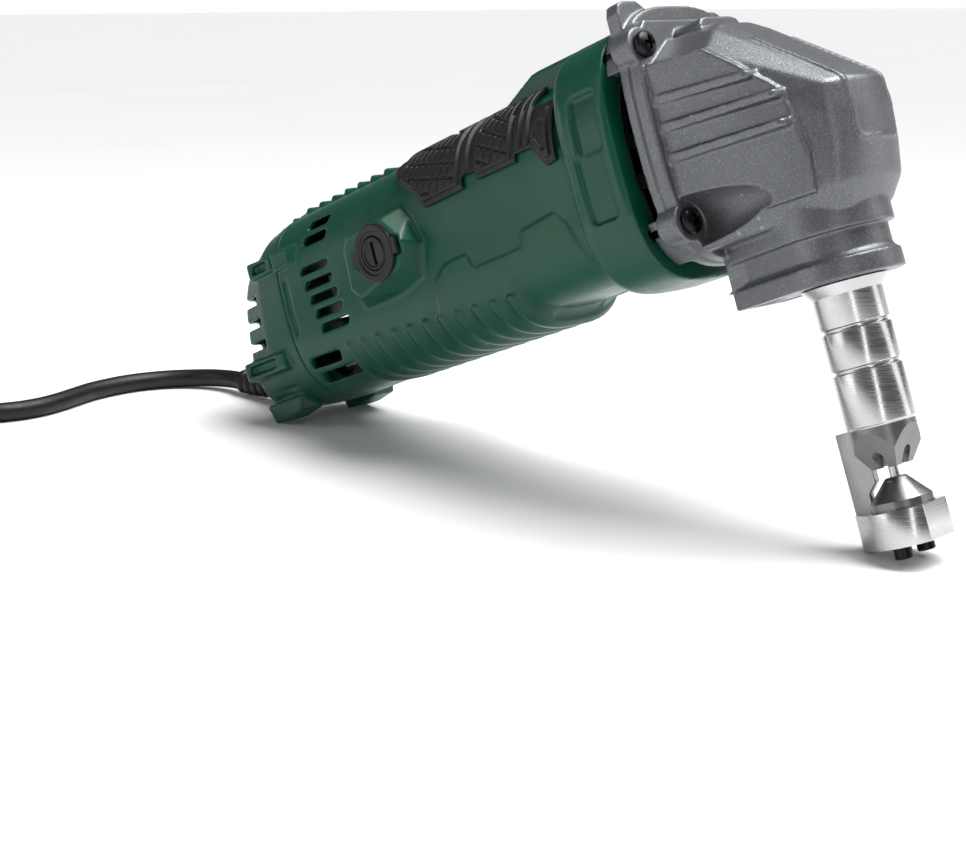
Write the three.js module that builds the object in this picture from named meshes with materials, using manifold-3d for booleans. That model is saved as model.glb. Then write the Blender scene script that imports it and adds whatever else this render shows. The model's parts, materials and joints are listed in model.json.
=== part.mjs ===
// Nibbler: a mains hand tool that cuts sheet metal with a punch and a die at the end of a neck.
// The tool is drawn in its own frame: motor axis along +X towards the head, punch axis along -Z at x = 0.
// The whole tool is then tipped nose-up, so that it rests on the die block's rear edge and the tail's two
// lower bumpers, with the bench at z = 0. The cord lies on the bench.
import * as THREE from "three";
import { mergeVertices } from "three/addons/utils/BufferGeometryUtils.js";
import { ConvexGeometry } from "three/addons/geometries/ConvexGeometry.js";
import Module from "manifold-3d";

const wasm = await Module();
wasm.setup();

// ---------------------------------------------------------------- driving dimensions, mm
const GAP = 0.3; // between neighbouring pieces
const WALL = 2.6; // moulded housing

const FLANGE = { rear: -38, front: -30, halfWidth: 30.5, halfHeight: 41.2, power: 3.1 };
const FOOT_REAR = -43.6; // the casting's corner feet reach back to the motor housing
const FLANGE_SCREW = { y: 25.2, z: 27.2, head: 4, shank: 1.9, ear: 6, length: 26 };

const BAND = { front: -44, rear: -67, halfWidth: 33, top: 38, bottom: -43.4, power: 3.4 };
const SEAM = -224; // motor housing meets tail cover
const TAIL = { rear: -256, slant: 0.2 };
const BODY_POWER = 2.9;
const SWITCH = { top: 38.6, front: -63, rear: -93, half: 4.6, travel: 6 };

const NECK = { top: -37, bottom: -56.4, radius: 18.8, waist: 16.6, rear: -31.8, rearHalf: 11.5 };
const CLAMP_Z = -50.5; // screw that holds the die carrier in the neck
const SLEEVE = { radius: 10.5, cone: 13, coneTop: -56.8, top: -60, bottom: -99, bore: 7.2 };
const SPIGOT = { radius: 11.9, bore: 8.9, top: -46.3 };
const SLEEVE_GROOVES = [-70, -82.4];
const NOSE = { band: 10, bandEnd: -102.5, tip: -112.3, tipRadius: 4.6, bore: 3.5, tipBore: 1.9 };
const WEB = { rear: -16.3, front: -6.6, half: 1.3, top: -100 };
const BLOCK = { top: -124.6, bottom: -135.3, radius: 12.3, flat: 10.6, lobe: 6, lobeAt: -10.3 };
const DIE = { base: 9.2, baseBottom: -127.4, tip: 3.4, top: -115.6, bore: 1.75, relief: 2.6 };
const DIE_SCREW = { y: 6, head: 2.75, headHeight: 3.8, shank: 1.2 };

const STROKE = 3; // half stroke of the ram
const PINION = { teeth: 7, radius: 3.5, bore: 1.6 };
const GEAR = { teeth: 30, radius: 15 };
const TOOTH = { tip: 0.5, root: -0.8 };
const CRANK_Z = -(PINION.radius + GEAR.radius);
const CRANK = { radius: 5, rearJournal: 3, pin: 4.3 };
const ROLLER = { outer: 6.4, half: 5.5 };
const YOKE = { half: 5, y: 13.2, low: -35.6, top: -1.6, slotY: 10.2, slotZ: 12.9 };
const RAM = { radius: 6, bottom: -84, screwZ: -78 };
const BUSH = { radius: 8.6, bottom: -55.4, top: -41.6 };
const PUNCH = { shank: 3, tip: 1.5, step: -102.5, end: -115.6, top: -72 };

const SHAFT = 4;
const FRONT_BEARING = { outer: 9.5, rear: -46.5, front: -39.5 };
const REAR_BEARING = { outer: 9.5, rear: -186, front: -180 };
const CRANK_REAR_BEARING = { outer: 6.5, rear: -36.8, front: -31.8 };
const CRANK_MAIN_BEARING = { outer: 11, rear: -18.6, front: -11.4 };
const PLATE = { radius: 26.7, z: -9, rear: -37.8, front: -33.8 };
const CORE = { front: -90, rear: -136, rotor: 16.8, stator: 26.1, bore: 17.4 };
const COMMUTATOR = { radius: 10.5, rear: -166, front: -146 };
const FAN = { radius: 23.5, hub: 9, rear: -80, front: -64, blades: 9 };

const CAP = { x: -156, z: -1.5, face: 38.2, radius: 7.6, rim: 10.2, ear: 11.6 };
const TAIL_SCREW = { y: 16, z: 12, boss: 4.8, seat: -249, length: 34 };

const CORD = { radius: 3.75, layers: 4, column: 41, clear: 0.1 };
const GUARD = { length: 40, smooth: 15, start: 6.4, end: 4.85, rings: 5, flange: 8.6, seat: -256.6 };
const CORD_EXIT = { x: -263.4, z: -29 };
const LEAD_IN_END = -232; // where the cord stops inside the tail
const TIE = { thick: 0.8, half: 4 };
const PLUG = { thick: 13.8, half: 13, length: 34, pinLength: 19, pinRadius: 2, pinY: 9.2 };

// ---------------------------------------------------------------- tilt of the resting tool
const BUMPER = { x: -256, z: -45.5 };
const TILT = Math.atan2(BUMPER.z - BLOCK.bottom, WEB.rear - BUMPER.x);
const GUARD_BEND = GUARD.length / TILT; // the guard bends through the tilt, so the cord leaves level

// ---------------------------------------------------------------- materials
const surface = (color, roughness, metalness) =>
  new THREE.MeshStandardMaterial({ color, roughness, metalness });
const greenPlastic = () => surface(0x05402c, 0.45, 0);
const softGrip = () => surface(0x17181a, 0.75, 0);
const blackPlastic = () => surface(0x141517, 0.5, 0);
const palePlastic = () => surface(0xd9d6cc, 0.5, 0);
const castGrey = () => surface(0x55585b, 0.45, 0.6);
const castBare = () => surface(0xa9acae, 0.5, 0.7);
const turnedSteel = () => surface(0xb4b7ba, 0.28, 1);
const darkSteel = () => surface(0x3a3c3f, 0.35, 1);
const blackScrew = () => surface(0x1c1d1f, 0.35, 0.8);
const copper = () => surface(0xa8562a, 0.4, 1);
const brass = () => surface(0xb08d4a, 0.35, 1);
const orangePlastic = () => surface(0xd8431a, 0.4, 0);
const corePlate = () => surface(0x6d7074, 0.5, 0.8);
const rubber = () => surface(0x101112, 0.7, 0);
const carbon = () => surface(0x26272a, 0.8, 0.1);

// ---------------------------------------------------------------- solids
function solid(geometry) {
  const bare = geometry.index ? geometry.toNonIndexed() : geometry.clone();
  for (const attribute of ["normal", "uv", "uv1"]) {
    bare.deleteAttribute(attribute);
  }
  const merged = mergeVertices(bare, 1e-4);
  const triangles = [];
  for (let i = 0; i < merged.index.count; i += 3) {
    const [a, b, c] = merged.index.array.slice(i, i + 3);
    if (a !== b && b !== c && c !== a) {
      triangles.push(a, b, c);
    }
  }
  return new wasm.Manifold(new wasm.Mesh({
    numProp: 3,
    vertProperties: new Float32Array(merged.attributes.position.array),
    triVerts: new Uint32Array(triangles),
  }));
}

function geometryOf(body) {
  const raw = body.getMesh();
  const geometry = new THREE.BufferGeometry();
  geometry.setAttribute("position", new THREE.BufferAttribute(new Float32Array(raw.vertProperties), 3));
  geometry.setIndex(new THREE.BufferAttribute(new Uint32Array(raw.triVerts), 1));
  geometry.computeVertexNormals();
  return geometry;
}

const unite = (bodies) => bodies.reduce((sum, body) => sum.add(body));
const cut = (body, tools) => tools.reduce((rest, tool) => rest.subtract(tool), body);

const AXES_YZ = new THREE.Matrix4().makeBasis(
  new THREE.Vector3(0, 1, 0), new THREE.Vector3(0, 0, 1), new THREE.Vector3(1, 0, 0));
const AXES_XZ = new THREE.Matrix4().makeBasis(
  new THREE.Vector3(1, 0, 0), new THREE.Vector3(0, 0, 1), new THREE.Vector3(0, -1, 0));

function extrusion(points, depth) {
  const shape = new THREE.Shape(points.map(([u, v]) => new THREE.Vector2(u, v)));
  return new THREE.ExtrudeGeometry(shape, { depth, steps: 1, bevelEnabled: false });
}
// an outline in YZ, from x0 to x1
function prismX(points, x0, x1) {
  return solid(extrusion(points, x1 - x0).applyMatrix4(AXES_YZ).translate(x0, 0, 0));
}
// a side outline in XZ, from y0 to y1
function prismY(points, y0, y1) {
  return solid(extrusion(points, y1 - y0).applyMatrix4(AXES_XZ).translate(0, y1, 0));
}
// a plan outline in XY, from z0 to z1
function prismZ(points, z0, z1) {
  return solid(extrusion(points, z1 - z0).translate(0, 0, z0));
}
function box(x0, x1, y0, y1, z0, z1) {
  const shape = new THREE.BoxGeometry(x1 - x0, y1 - y0, z1 - z0);
  return solid(shape.translate((x0 + x1) / 2, (y0 + y1) / 2, (z0 + z1) / 2));
}
function rodX(radius, x0, x1, y = 0, z = 0, facets = 14, radiusEnd = radius) {
  const rod = new THREE.CylinderGeometry(radiusEnd, radius, x1 - x0, facets);
  return solid(rod.rotateZ(-Math.PI / 2).translate((x0 + x1) / 2, y, z));
}
function rodY(radius, y0, y1, x = 0, z = 0, facets = 14) {
  const rod = new THREE.CylinderGeometry(radius, radius, y1 - y0, facets);
  return solid(rod.translate(x, (y0 + y1) / 2, z));
}
function rodZ(radius, z0, z1, x = 0, y = 0, facets = 14) {
  const rod = new THREE.CylinderGeometry(radius, radius, z1 - z0, facets);
  return solid(rod.rotateX(Math.PI / 2).translate(x, y, (z0 + z1) / 2));
}
// a section for turning, closed on itself or on the axis: pairs of radius and height
function latheOf(section, facets) {
  const points = section.map(([r, h]) => new THREE.Vector2(r, h));
  if (THREE.ShapeUtils.isClockWise(points)) {
    points.reverse();
  }
  if (section[0][0] > 0) {
    points.push(points[0].clone());
  }
  return new THREE.LatheGeometry(points, facets);
}
// turned on the punch axis: pairs of radius and z
const turnedZ = (section, facets = 22) => solid(latheOf(section, facets).rotateX(Math.PI / 2));
// turned on an axis along X at height z: pairs of radius and x
const turnedX = (section, z = 0, facets = 22) =>
  solid(latheOf(section, facets).rotateZ(-Math.PI / 2).translate(0, 0, z));
const ringX = (outer, inner, x0, x1, z = 0, facets = 22) =>
  turnedX([[inner, x0], [outer, x0], [outer, x1], [inner, x1]], z, facets);
const hull = (points) => solid(new ConvexGeometry(points.map((p) => new THREE.Vector3(...p))));

// rounded box section of the housings: a superellipse of half width and half height 1
function superellipse(power, count) {
  const points = [];
  for (let i = 0; i < count; i += 1) {
    const angle = (i / count) * 2 * Math.PI;
    const c = Math.cos(angle);
    const s = Math.sin(angle);
    points.push([Math.sign(c) * Math.abs(c) ** (2 / power), Math.sign(s) * Math.abs(s) ** (2 / power)]);
  }
  return points;
}
// a skin through stations { x, w, top, bottom, slant }, each a superellipse that wide and high,
// grown by offset
function loft(stations, offset = 0, power = BODY_POWER) {
  const last = stations.length - 1;
  const shape = new THREE.Shape(superellipse(power, 24).map(([u, v]) => new THREE.Vector2(u, v)));
  const block = new THREE.ExtrudeGeometry(shape, { depth: last, steps: last, bevelEnabled: false });
  const place = block.attributes.position;
  for (let i = 0; i < place.count; i += 1) {
    const station = stations[Math.round(place.getZ(i))];
    const middle = (station.top + station.bottom) / 2;
    const high = (station.top - station.bottom) / 2 + offset;
    const y = place.getX(i) * (station.w + offset);
    const z = middle + place.getY(i) * high;
    place.setXYZ(i, station.x + (station.slant ?? 0) * z, y, z);
  }
  return solid(block);
}

// the housing's size along its length, from the tail forward
const BARREL = [
  { x: SEAM, w: 30.4, top: 32, bottom: -43.2 },
  { x: -150, w: 29.6, top: 33, bottom: -41.8 },
  { x: -50, w: 28.9, top: 33.6, bottom: -38.6 },
];
const BAND_STATIONS = [
  { x: BAND.rear, w: 31.6, top: 36.4, bottom: -41.4 },
  { x: BAND.rear + 3, w: BAND.halfWidth, top: BAND.top, bottom: BAND.bottom },
  { x: BAND.front, w: BAND.halfWidth, top: BAND.top, bottom: BAND.bottom },
];
const TAIL_STATIONS = [
  { x: TAIL.rear, w: 24, top: 20, bottom: -38, slant: TAIL.slant },
  { x: TAIL.rear + 5, w: 28, top: 25, bottom: -42, slant: TAIL.slant },
  { x: -238, w: 30.2, top: 30.4, bottom: -43.4, slant: TAIL.slant / 2 },
  { x: SEAM - GAP, w: 30.4, top: 32, bottom: -43.2 },
];
// the same skin with its first and last stations pulled along X, for a hollow that runs out of it
function reaching(stations, first, last) {
  const moved = stations.map((station) => ({ ...station }));
  moved[0].x += first;
  moved.at(-1).x += last;
  return moved;
}

const SIDES = [-1, 1];
// a span from y0 to y1 outward of the middle, on the given side
const outward = (side, y0, y1) => (side > 0 ? [y0, y1] : [-y1, -y0]);
// a box outward of the middle on both sides
const pairOfBoxes = (x0, x1, y0, y1, z0, z1) =>
  SIDES.map((side) => box(x0, x1, ...outward(side, y0, y1), z0, z1));

// ---------------------------------------------------------------- assembly groups
const nibbler = new THREE.Group();
const tool = new THREE.Group();
const cordSet = new THREE.Group();
nibbler.add(tool, cordSet);

function add(name, body, material, group = tool) {
  const mesh = new THREE.Mesh(geometryOf(body), material);
  mesh.name = name;
  group.add(mesh);
  return mesh;
}

const SCREW_PLACES = [1, -1].flatMap((up) =>
  SIDES.map((side) => ({ y: side * FLANGE_SCREW.y, z: up * FLANGE_SCREW.z })));
const TAIL_SCREW_PLACES = SIDES.map((side) => ({ y: side * TAIL_SCREW.y, z: TAIL_SCREW.z }));

// a pan-head cross-recess screw along X: head outward at +x, shank towards -x, seat at x = 0
function panScrew(length, headRadius, headHeight, shankRadius) {
  const body = turnedX([
    [0, -length], [shankRadius, -length], [shankRadius, GAP], [headRadius, GAP],
    [headRadius, headHeight * 0.55], [headRadius * 0.62, headHeight], [0, headHeight]], 0, 12);
  const slot = headRadius * 0.6;
  return cut(body, [
    box(headHeight - 1.2, headHeight + 1, -slot, slot, -0.6, 0.6),
    box(headHeight - 1.2, headHeight + 1, -0.6, 0.6, -slot, slot)]);
}

// ---------------------------------------------------------------- motor housing
const VENT = { count: 5, pitch: 5.6, height: 2.8, top: 6, length: 17 };
const BOSS_FACE = [
  [-169.6, 8.1], [-150.8, 9], [-142.8, -0.3], [-146.2, -8.7], [-169.6, -14.3], [-174, -10], [-172.8, 4.1]];
const BOSS_BASE = [[-184, 10], [-146, 14.5], [-138.5, -5], [-144, -18], [-185, -19.6]];

function brushBoss(side) {
  return hull([
    ...BOSS_FACE.map(([x, z]) => [x, side * CAP.face, z]),
    ...BOSS_BASE.map(([x, z]) => [x, side * 24, z])]);
}

function motorHousing() {
  const rail = [[-102, 30], [-86, 37.6], [BAND.front - 1, 37.6], [BAND.front - 1, 30]];
  const rails = SIDES.map((side) => prismY(rail, ...outward(side, 9, 14.5)));
  const spine = prismY([[SEAM, 28], [SEAM, 35.4], [-168, 35.6], [-158, 31], [-158, 28]], -11, 11);
  const skin = unite([loft(BARREL), loft(BAND_STATIONS, 0, BAND.power), ...rails, spine,
    ...SIDES.map(brushBoss)]);
  const hollow = loft(reaching(BARREL, -1, 12), -WALL);
  const sideVents = [];
  for (let i = 0; i < VENT.count; i += 1) {
    const z = VENT.top - i * VENT.pitch;
    sideVents.push(...pairOfBoxes(-211 + i, -211 + i + VENT.length, 24, 40, z - VENT.height, z));
  }
  sideVents.push(
    ...pairOfBoxes(-208, -194, 20, 40, 13.4, 16.8), ...pairOfBoxes(-206, -193, 20, 40, 18.4, 21.2),
    ...pairOfBoxes(-221, -203, 20, 40, -30.8, -27), ...pairOfBoxes(-220, -199, 16, 40, -36.6, -33));
  const brushHole = rodY(CAP.radius + GAP, -50, 50, CAP.x, CAP.z, 16);
  // the cap's ears sink into the boss
  const earRecess = box(CAP.x - 12.2, CAP.x + 12.2, -50, 50, CAP.z - 3.4, CAP.z + 3.4).subtract(
    box(CAP.x - 20, CAP.x + 20, -CAP.face + 1.4, CAP.face - 1.4, -40, 40));
  const switchChannel = box(SWITCH.rear - 6, SWITCH.front + SWITCH.travel + 0.6, -5.4, 5.4, 28, 42);
  const screwHoles = SCREW_PLACES.map(({ y, z }) =>
    rodX(FLANGE_SCREW.shank + GAP, -58, -40, y, z, 14));
  const shell = cut(skin, [hollow, ...sideVents, brushHole, earRecess, switchChannel, ...screwHoles]);

  const bearingSeat = unite([
    rodX(13, REAR_BEARING.rear - 2.4, REAR_BEARING.front, 0, 0, 20),
    box(REAR_BEARING.rear - 2.4, REAR_BEARING.front, -28.6, 28.6, -5, 5),
  ]).subtract(rodX(REAR_BEARING.outer + GAP, REAR_BEARING.rear - GAP, -170, 0, 0, 20))
    .subtract(rodX(SHAFT + 1, -200, -170, 0, 0, 14));
  const shelves = [[7, 8.6], [-10.2, -8.5], [-21, -19.6]].map(([z0, z1]) =>
    box(SEAM, -198, -28.9, 28.9, z0, z1));
  const bosses = TAIL_SCREW_PLACES.map(({ y, z }) => rodX(TAIL_SCREW.boss, SEAM, -210, y, z, 14));
  const bossHoles = TAIL_SCREW_PLACES.map(({ y, z }) => rodX(2, -260, -212, y, z, 14));
  return cut(unite([shell, bearingSeat, ...shelves, ...bosses]), bossHoles);
}
add("motor_housing", motorHousing(), greenPlastic());

// ---------------------------------------------------------------- tail cover
function tailCover() {
  const upper = pairOfBoxes(-241, SEAM - GAP, 22, 31.4, 8, 16.4);
  const lower = pairOfBoxes(-258.5, -231, 22, 31.4, -28.5, -19.4);
  const low = [[-236, -38], [-238, -43.8], [BUMPER.x + 8, BUMPER.z], [BUMPER.x, BUMPER.z], [-259, -38]];
  const feet = SIDES.map((side) => prismY(low, ...outward(side, 13, 24)));
  const spine = prismY([[-249, 24], [-248, 30.4], [SEAM - GAP, 35.4], [SEAM - GAP, 24]], -11, 11);
  const skin = unite([loft(TAIL_STATIONS), ...upper, ...lower, ...feet, spine]);
  const hollow = loft(reaching(TAIL_STATIONS, WALL, 1), -WALL);
  const slots = [3.4, -5, -13.4].flatMap((z) => pairOfBoxes(-262, -242, 20, 40, z - 3.2, z));
  const lugSlots = [
    ...pairOfBoxes(-238, -228, 27.8, 40, 10.4, 14), ...pairOfBoxes(-255, -236, 27.8, 40, -26, -21.8)];
  const entry = rodX(GUARD.start + GAP, -280, -250, 0, CORD_EXIT.z, 16);
  const seat = rodX(9, -259, -245, 0, CORD_EXIT.z, 16).intersect(box(-262, -256.4, -20, 20, -50, 0));
  const shell = cut(skin, [hollow, ...slots, ...lugSlots, entry]);
  const bosses = TAIL_SCREW_PLACES.map(({ y, z }) =>
    rodX(TAIL_SCREW.boss, -252.6, SEAM - GAP, y, z, 14));
  const saddles = [-247, -238].map((x) => box(x, x + 3, -10, 10, -42, CORD_EXIT.z + 1)).map((saddle) =>
    saddle.subtract(rodX(CORD.radius + GAP, -260, -220, 0, CORD_EXIT.z, 14)));
  const screwHoles = TAIL_SCREW_PLACES.flatMap(({ y, z }) => [
    rodX(2, -260, -200, y, z, 14), rodX(3.6, -270, TAIL_SCREW.seat, y, z, 16)]);
  return cut(unite([shell, ...bosses, ...saddles]), [...screwHoles, seat]);
}
add("tail_cover", tailCover(), greenPlastic());

TAIL_SCREW_PLACES.forEach(({ y, z }, i) => {
  const screw = add(`tail_screw_${i + 1}`, panScrew(TAIL_SCREW.length, 3.2, 2.2, 1.7), blackScrew());
  screw.rotation.z = Math.PI;
  screw.position.set(TAIL_SCREW.seat, y, z);
});

// ---------------------------------------------------------------- soft grip
// side outline of the overlay: notched lower edge, pointed rear corner, hooked front
const GRIP_OUTLINE = [
  [-70.5, 24.6], [-71, 5], [-75.6, 4.4], [-81, 12], [-88.6, 12.2], [-88.6, 9.6], [-108.4, 9.6],
  [-108.4, 12.8], [-115, 12.8], [-115, 8.6], [-135.4, 8], [-141.8, 15.6], [-150, 21], [-154, 26],
  [-154, 45], [-106, 45], [-103, 33.2], [-100, 24.6],
];
add("grip_overlay", loft(BARREL, 2.3).intersect(prismY(GRIP_OUTLINE, -60, 60)).subtract(loft(BARREL, GAP)),
  softGrip());

// ---------------------------------------------------------------- switch and electrics
function switchButton() {
  const { top, front, rear, half } = SWITCH;
  const wedge = [[rear, 34.3], [rear, 35.6], [-76, 36.2], [-70, top], [front - 2, top], [front, 34.3]];
  return prismY(wedge, -half, half).add(box(-90, -70, -3.4, 3.4, 27.6, 34.6));
}
add("switch_button", switchButton(), orangePlastic());
add("switch_rod", box(-208, -90 - GAP, -2.6, 2.6, 27.6, 29.2), blackPlastic());
add("switch_module", box(-222, -203, -8, 8, 8.6 + GAP, 26), blackPlastic());
add("suppressor", box(-220, -206, -9, 9, -8.5 + GAP, 3.6), palePlastic());
add("terminal_block", box(-222, -206, -10, 10, -32, -21 - GAP), palePlastic());

// ---------------------------------------------------------------- gear housing
const HEAD_LEVELS = [
  { z: -37, nose: 17.6, cheek: [14, 13], flank: [2, 19], rear: [-30, 24] },
  { z: -30, nose: 22.4, cheek: [15.6, 17], flank: [8, 20], rear: [-30, 27] },
  { z: -10, nose: 26, cheek: [17.4, 17], flank: [12, 20.4], rear: [-30, 27.4] },
  { z: -2, nose: 25.6, cheek: [17.4, 16.4], flank: [11, 21], rear: [-30, 27.4] },
];
const HEAD_CROWN = [
  [22.6, 9, 2.4], [17.6, 14.4, 1.6], [9.4, 21, 0.8], [-0.9, 22.4, 10.9], [-11, 24, 19.4], [-30, 26.8, 20.6],
  [-12, 14, 25.2], [-14, 7, 28.2], [-30, 13.6, 28.4]];

function headShell() {
  const half = [...HEAD_CROWN];
  for (const { z, nose, cheek, flank, rear } of HEAD_LEVELS) {
    half.push([...rear, z], [...flank, z]);
    for (let i = 0; i <= 4; i += 1) {
      const angle = (i / 4) * (Math.PI / 2);
      half.push([cheek[0] + (nose - cheek[0]) * Math.cos(angle), cheek[1] * Math.sin(angle), z]);
    }
  }
  return hull([...half, ...half.map(([x, y, z]) => [x, -y, z])]);
}

function flangePlate(x0, x1) {
  const size = { w: FLANGE.halfWidth, top: FLANGE.halfHeight, bottom: -FLANGE.halfHeight };
  return loft([{ x: x0, ...size }, { x: x1, ...size }], 0, FLANGE.power);
}

function neckPlan(radius, rearHalf) {
  const points = [];
  for (let degrees = -100; degrees <= 100; degrees += 20) {
    const angle = degrees * (Math.PI / 180);
    points.push([radius * Math.cos(angle), radius * Math.sin(angle)]);
  }
  return [...points, [NECK.rear, rearHalf], [NECK.rear, -rearHalf]];
}
function neck() {
  const { radius, waist, rearHalf, rear, top, bottom } = NECK;
  const spar = [[rear, top], [rear, bottom + 1], [-18, bottom], [-18, top]];
  return unite([
    prismZ(neckPlan(radius, rearHalf), top - 5.4, top + 4),
    prismZ(neckPlan(waist, rearHalf - 1), -51, top - 5),
    prismZ(neckPlan(radius - 0.3, rearHalf), bottom, -50),
    prismY(spar, -rearHalf, rearHalf)]);
}

const RIBS = [
  { rear: 11.4, front: 8.2, end: 3.4 }, { rear: 2.8, front: 0.2, end: 10.6 },
  { rear: -6.6, front: -8.4, end: 11 }];
const RIB_HEIGHT = 2.6;
// cooling ribs rise out of the sloping cheek towards the front
function headRib({ rear, front, end }, side) {
  const corners = [
    [FLANGE.front, 27.6, rear], [end, 23.6, front], [FLANGE.front, 18, rear], [end, 16, front]];
  return hull(corners.flatMap(([x, y, z]) => [[x, side * y, z], [x, side * y, z - RIB_HEIGHT]]));
}

const FIN_OUTLINE = [
  [-24, 30], [-24, 40], [-21.5, 43.6], [-13, 43.6], [-9, 40.8], [15, 41.2], [19, 42.6], [24, 42.4],
  [26.4, 38], [26.4, 30]];

function gearHousing() {
  const ears = SCREW_PLACES.map(({ y, z }) =>
    rodX(FLANGE_SCREW.ear, FLANGE.rear, FLANGE.front, y, z, 16));
  const feet = SCREW_PLACES.map(({ y, z }) => flangePlate(FOOT_REAR, FLANGE.rear + 1).intersect(
    box(-60, -20, ...(y > 0 ? [18, 34] : [-34, -18]), ...(z > 0 ? [22, 38] : [-38, -24]))));
  const body = unite([
    headShell(), flangePlate(FLANGE.rear, FLANGE.front), neck(), prismX(FIN_OUTLINE, -42, FLANGE.rear + 1),
    box(-31, -18, -9, 9, 24, 34), ...ears, ...feet,
    ...RIBS.flatMap((rib) => SIDES.map((side) => headRib(rib, side)))]);

  const scoops = SIDES.map((side) =>
    rodX(7.8, FLANGE.front, 5, side * (FLANGE_SCREW.y + 1.2), -FLANGE_SCREW.z + 0.6, 24, 3));
  const screwHoles = SCREW_PLACES.map(({ y, z }) =>
    rodX(FLANGE_SCREW.shank + GAP, -60, -20, y, z, 14));
  const gearRoom = [
    rodX(PLATE.radius + GAP, FOOT_REAR - 1, PLATE.front + GAP, 0, PLATE.z, 24),
    rodX(GEAR.radius + 1.4, PLATE.front - 1, -19.5, 0, CRANK_Z, 22),
    rodX(6.5, PLATE.front - 1, -19.5, 0, 0, 14),
    box(PLATE.front - 1, -14, -9, 9, 5, 16)];
  const crankBore = [
    rodX(CRANK_MAIN_BEARING.outer + GAP, -20, CRANK_MAIN_BEARING.front + GAP, 0, CRANK_Z, 20),
    rodX(9.2, -20, -5, 0, CRANK_Z, 20)];
  const yokeRoom = [box(-8.6, 14, -12, 12, -32, 2), box(-7, 8, -13.8, 13.8, -39.2, 2)];
  const neckBore = [
    rodZ(BUSH.radius + GAP, NECK.bottom - 1, -38, 0, 0, 20),
    rodZ(SPIGOT.radius + GAP, NECK.bottom - 1, SPIGOT.top + GAP, 0, 0, 22)];
  const pockets = SIDES.map((side) =>
    box(-29.4, -17, ...outward(side, 4.4, 9), NECK.bottom - 2, -42));
  const clampHole = rodX(2.8, -40, -10, 0, CLAMP_Z, 14);
  return cut(body, [...scoops, ...screwHoles, ...gearRoom, ...crankBore, ...yokeRoom, ...neckBore,
    ...pockets, clampHole]);
}
add("gear_housing", gearHousing(), castGrey());

SCREW_PLACES.forEach(({ y, z }, i) => {
  const { length, head, shank } = FLANGE_SCREW;
  const screw = add(`head_screw_${i + 1}`, panScrew(length, head, 3.3, shank), blackScrew());
  screw.position.set(FLANGE.front, y, z);
});
add("neck_clamp_screw", rodX(2.5, -31, -SPIGOT.radius - GAP, 0, CLAMP_Z, 16)
  .subtract(rodX(1.3, -32, -28.4, 0, CLAMP_Z, 6)), blackScrew());

// ---------------------------------------------------------------- bearing plate and bearings
function bearingPlate() {
  const crankBoss = rodX(8.6, PLATE.front - 1, CRANK_REAR_BEARING.front, 0, CRANK_Z, 16);
  const body = unite([
    rodX(PLATE.radius, PLATE.rear, PLATE.front, 0, PLATE.z, 24),
    rodX(12.5, FRONT_BEARING.rear - 2, PLATE.front, 0, 0, 20), crankBoss]);
  return cut(body, [
    rodX(FRONT_BEARING.outer + GAP, FRONT_BEARING.rear - GAP, FRONT_BEARING.front + 2, 0, 0, 20),
    rodX(SHAFT + 1, -60, -20, 0, 0, 14),
    rodX(CRANK_REAR_BEARING.outer + GAP, CRANK_REAR_BEARING.rear - GAP, -20, 0, CRANK_Z, 16)]);
}
// a bearing as one ring between its seat and its shaft
const bearing = ({ outer, rear, front }, shaft, z = 0) => ringX(outer, shaft + GAP, rear, front, z);
add("bearing_plate", bearingPlate(), castBare());
add("front_bearing", bearing(FRONT_BEARING, SHAFT), darkSteel());
add("rear_bearing", bearing(REAR_BEARING, SHAFT), darkSteel());
add("crank_rear_bearing", bearing(CRANK_REAR_BEARING, CRANK.rearJournal, CRANK_Z), darkSteel());
add("crank_main_bearing", bearing(CRANK_MAIN_BEARING, CRANK.radius, CRANK_Z), darkSteel());

// ---------------------------------------------------------------- rotor
const aroundShaft = (outer, x0, x1) => ringX(outer, SHAFT + GAP, x0, x1);

function toothed({ teeth, radius }, x0, x1, bore) {
  const points = [];
  for (let i = 0; i < teeth; i += 1) {
    for (const [part, r] of [[0, TOOTH.root], [0.42, TOOTH.root], [0.58, TOOTH.tip], [0.84, TOOTH.tip]]) {
      const angle = ((i + part) / teeth) * 2 * Math.PI;
      points.push([(radius + r) * Math.cos(angle), (radius + r) * Math.sin(angle)]);
    }
  }
  return prismX(points, x0, x1).subtract(rodX(bore, x0 - 1, x1 + 1, 0, 0, 14));
}
function rotorCore() {
  const slots = [];
  for (let i = 0; i < 12; i += 1) {
    const slot = box(CORE.rear - 1, CORE.front + 1, CORE.rotor - 5, CORE.rotor + 1, -0.8, 0.8);
    slots.push(slot.rotate([i * 30, 0, 0]));
  }
  return cut(aroundShaft(CORE.rotor, CORE.rear, CORE.front), slots);
}
function coolingFan() {
  const blades = [];
  for (let i = 0; i < FAN.blades; i += 1) {
    const blade = box(FAN.rear + 1, FAN.front - 3, FAN.hub - 0.5, FAN.radius - 0.5, -0.7, 0.7);
    blades.push(blade.rotate([(i * 360) / FAN.blades, 0, 0]));
  }
  return unite([
    aroundShaft(FAN.hub, FAN.rear, FAN.front), aroundShaft(FAN.radius, FAN.rear, FAN.rear + 2), ...blades]);
}
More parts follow.
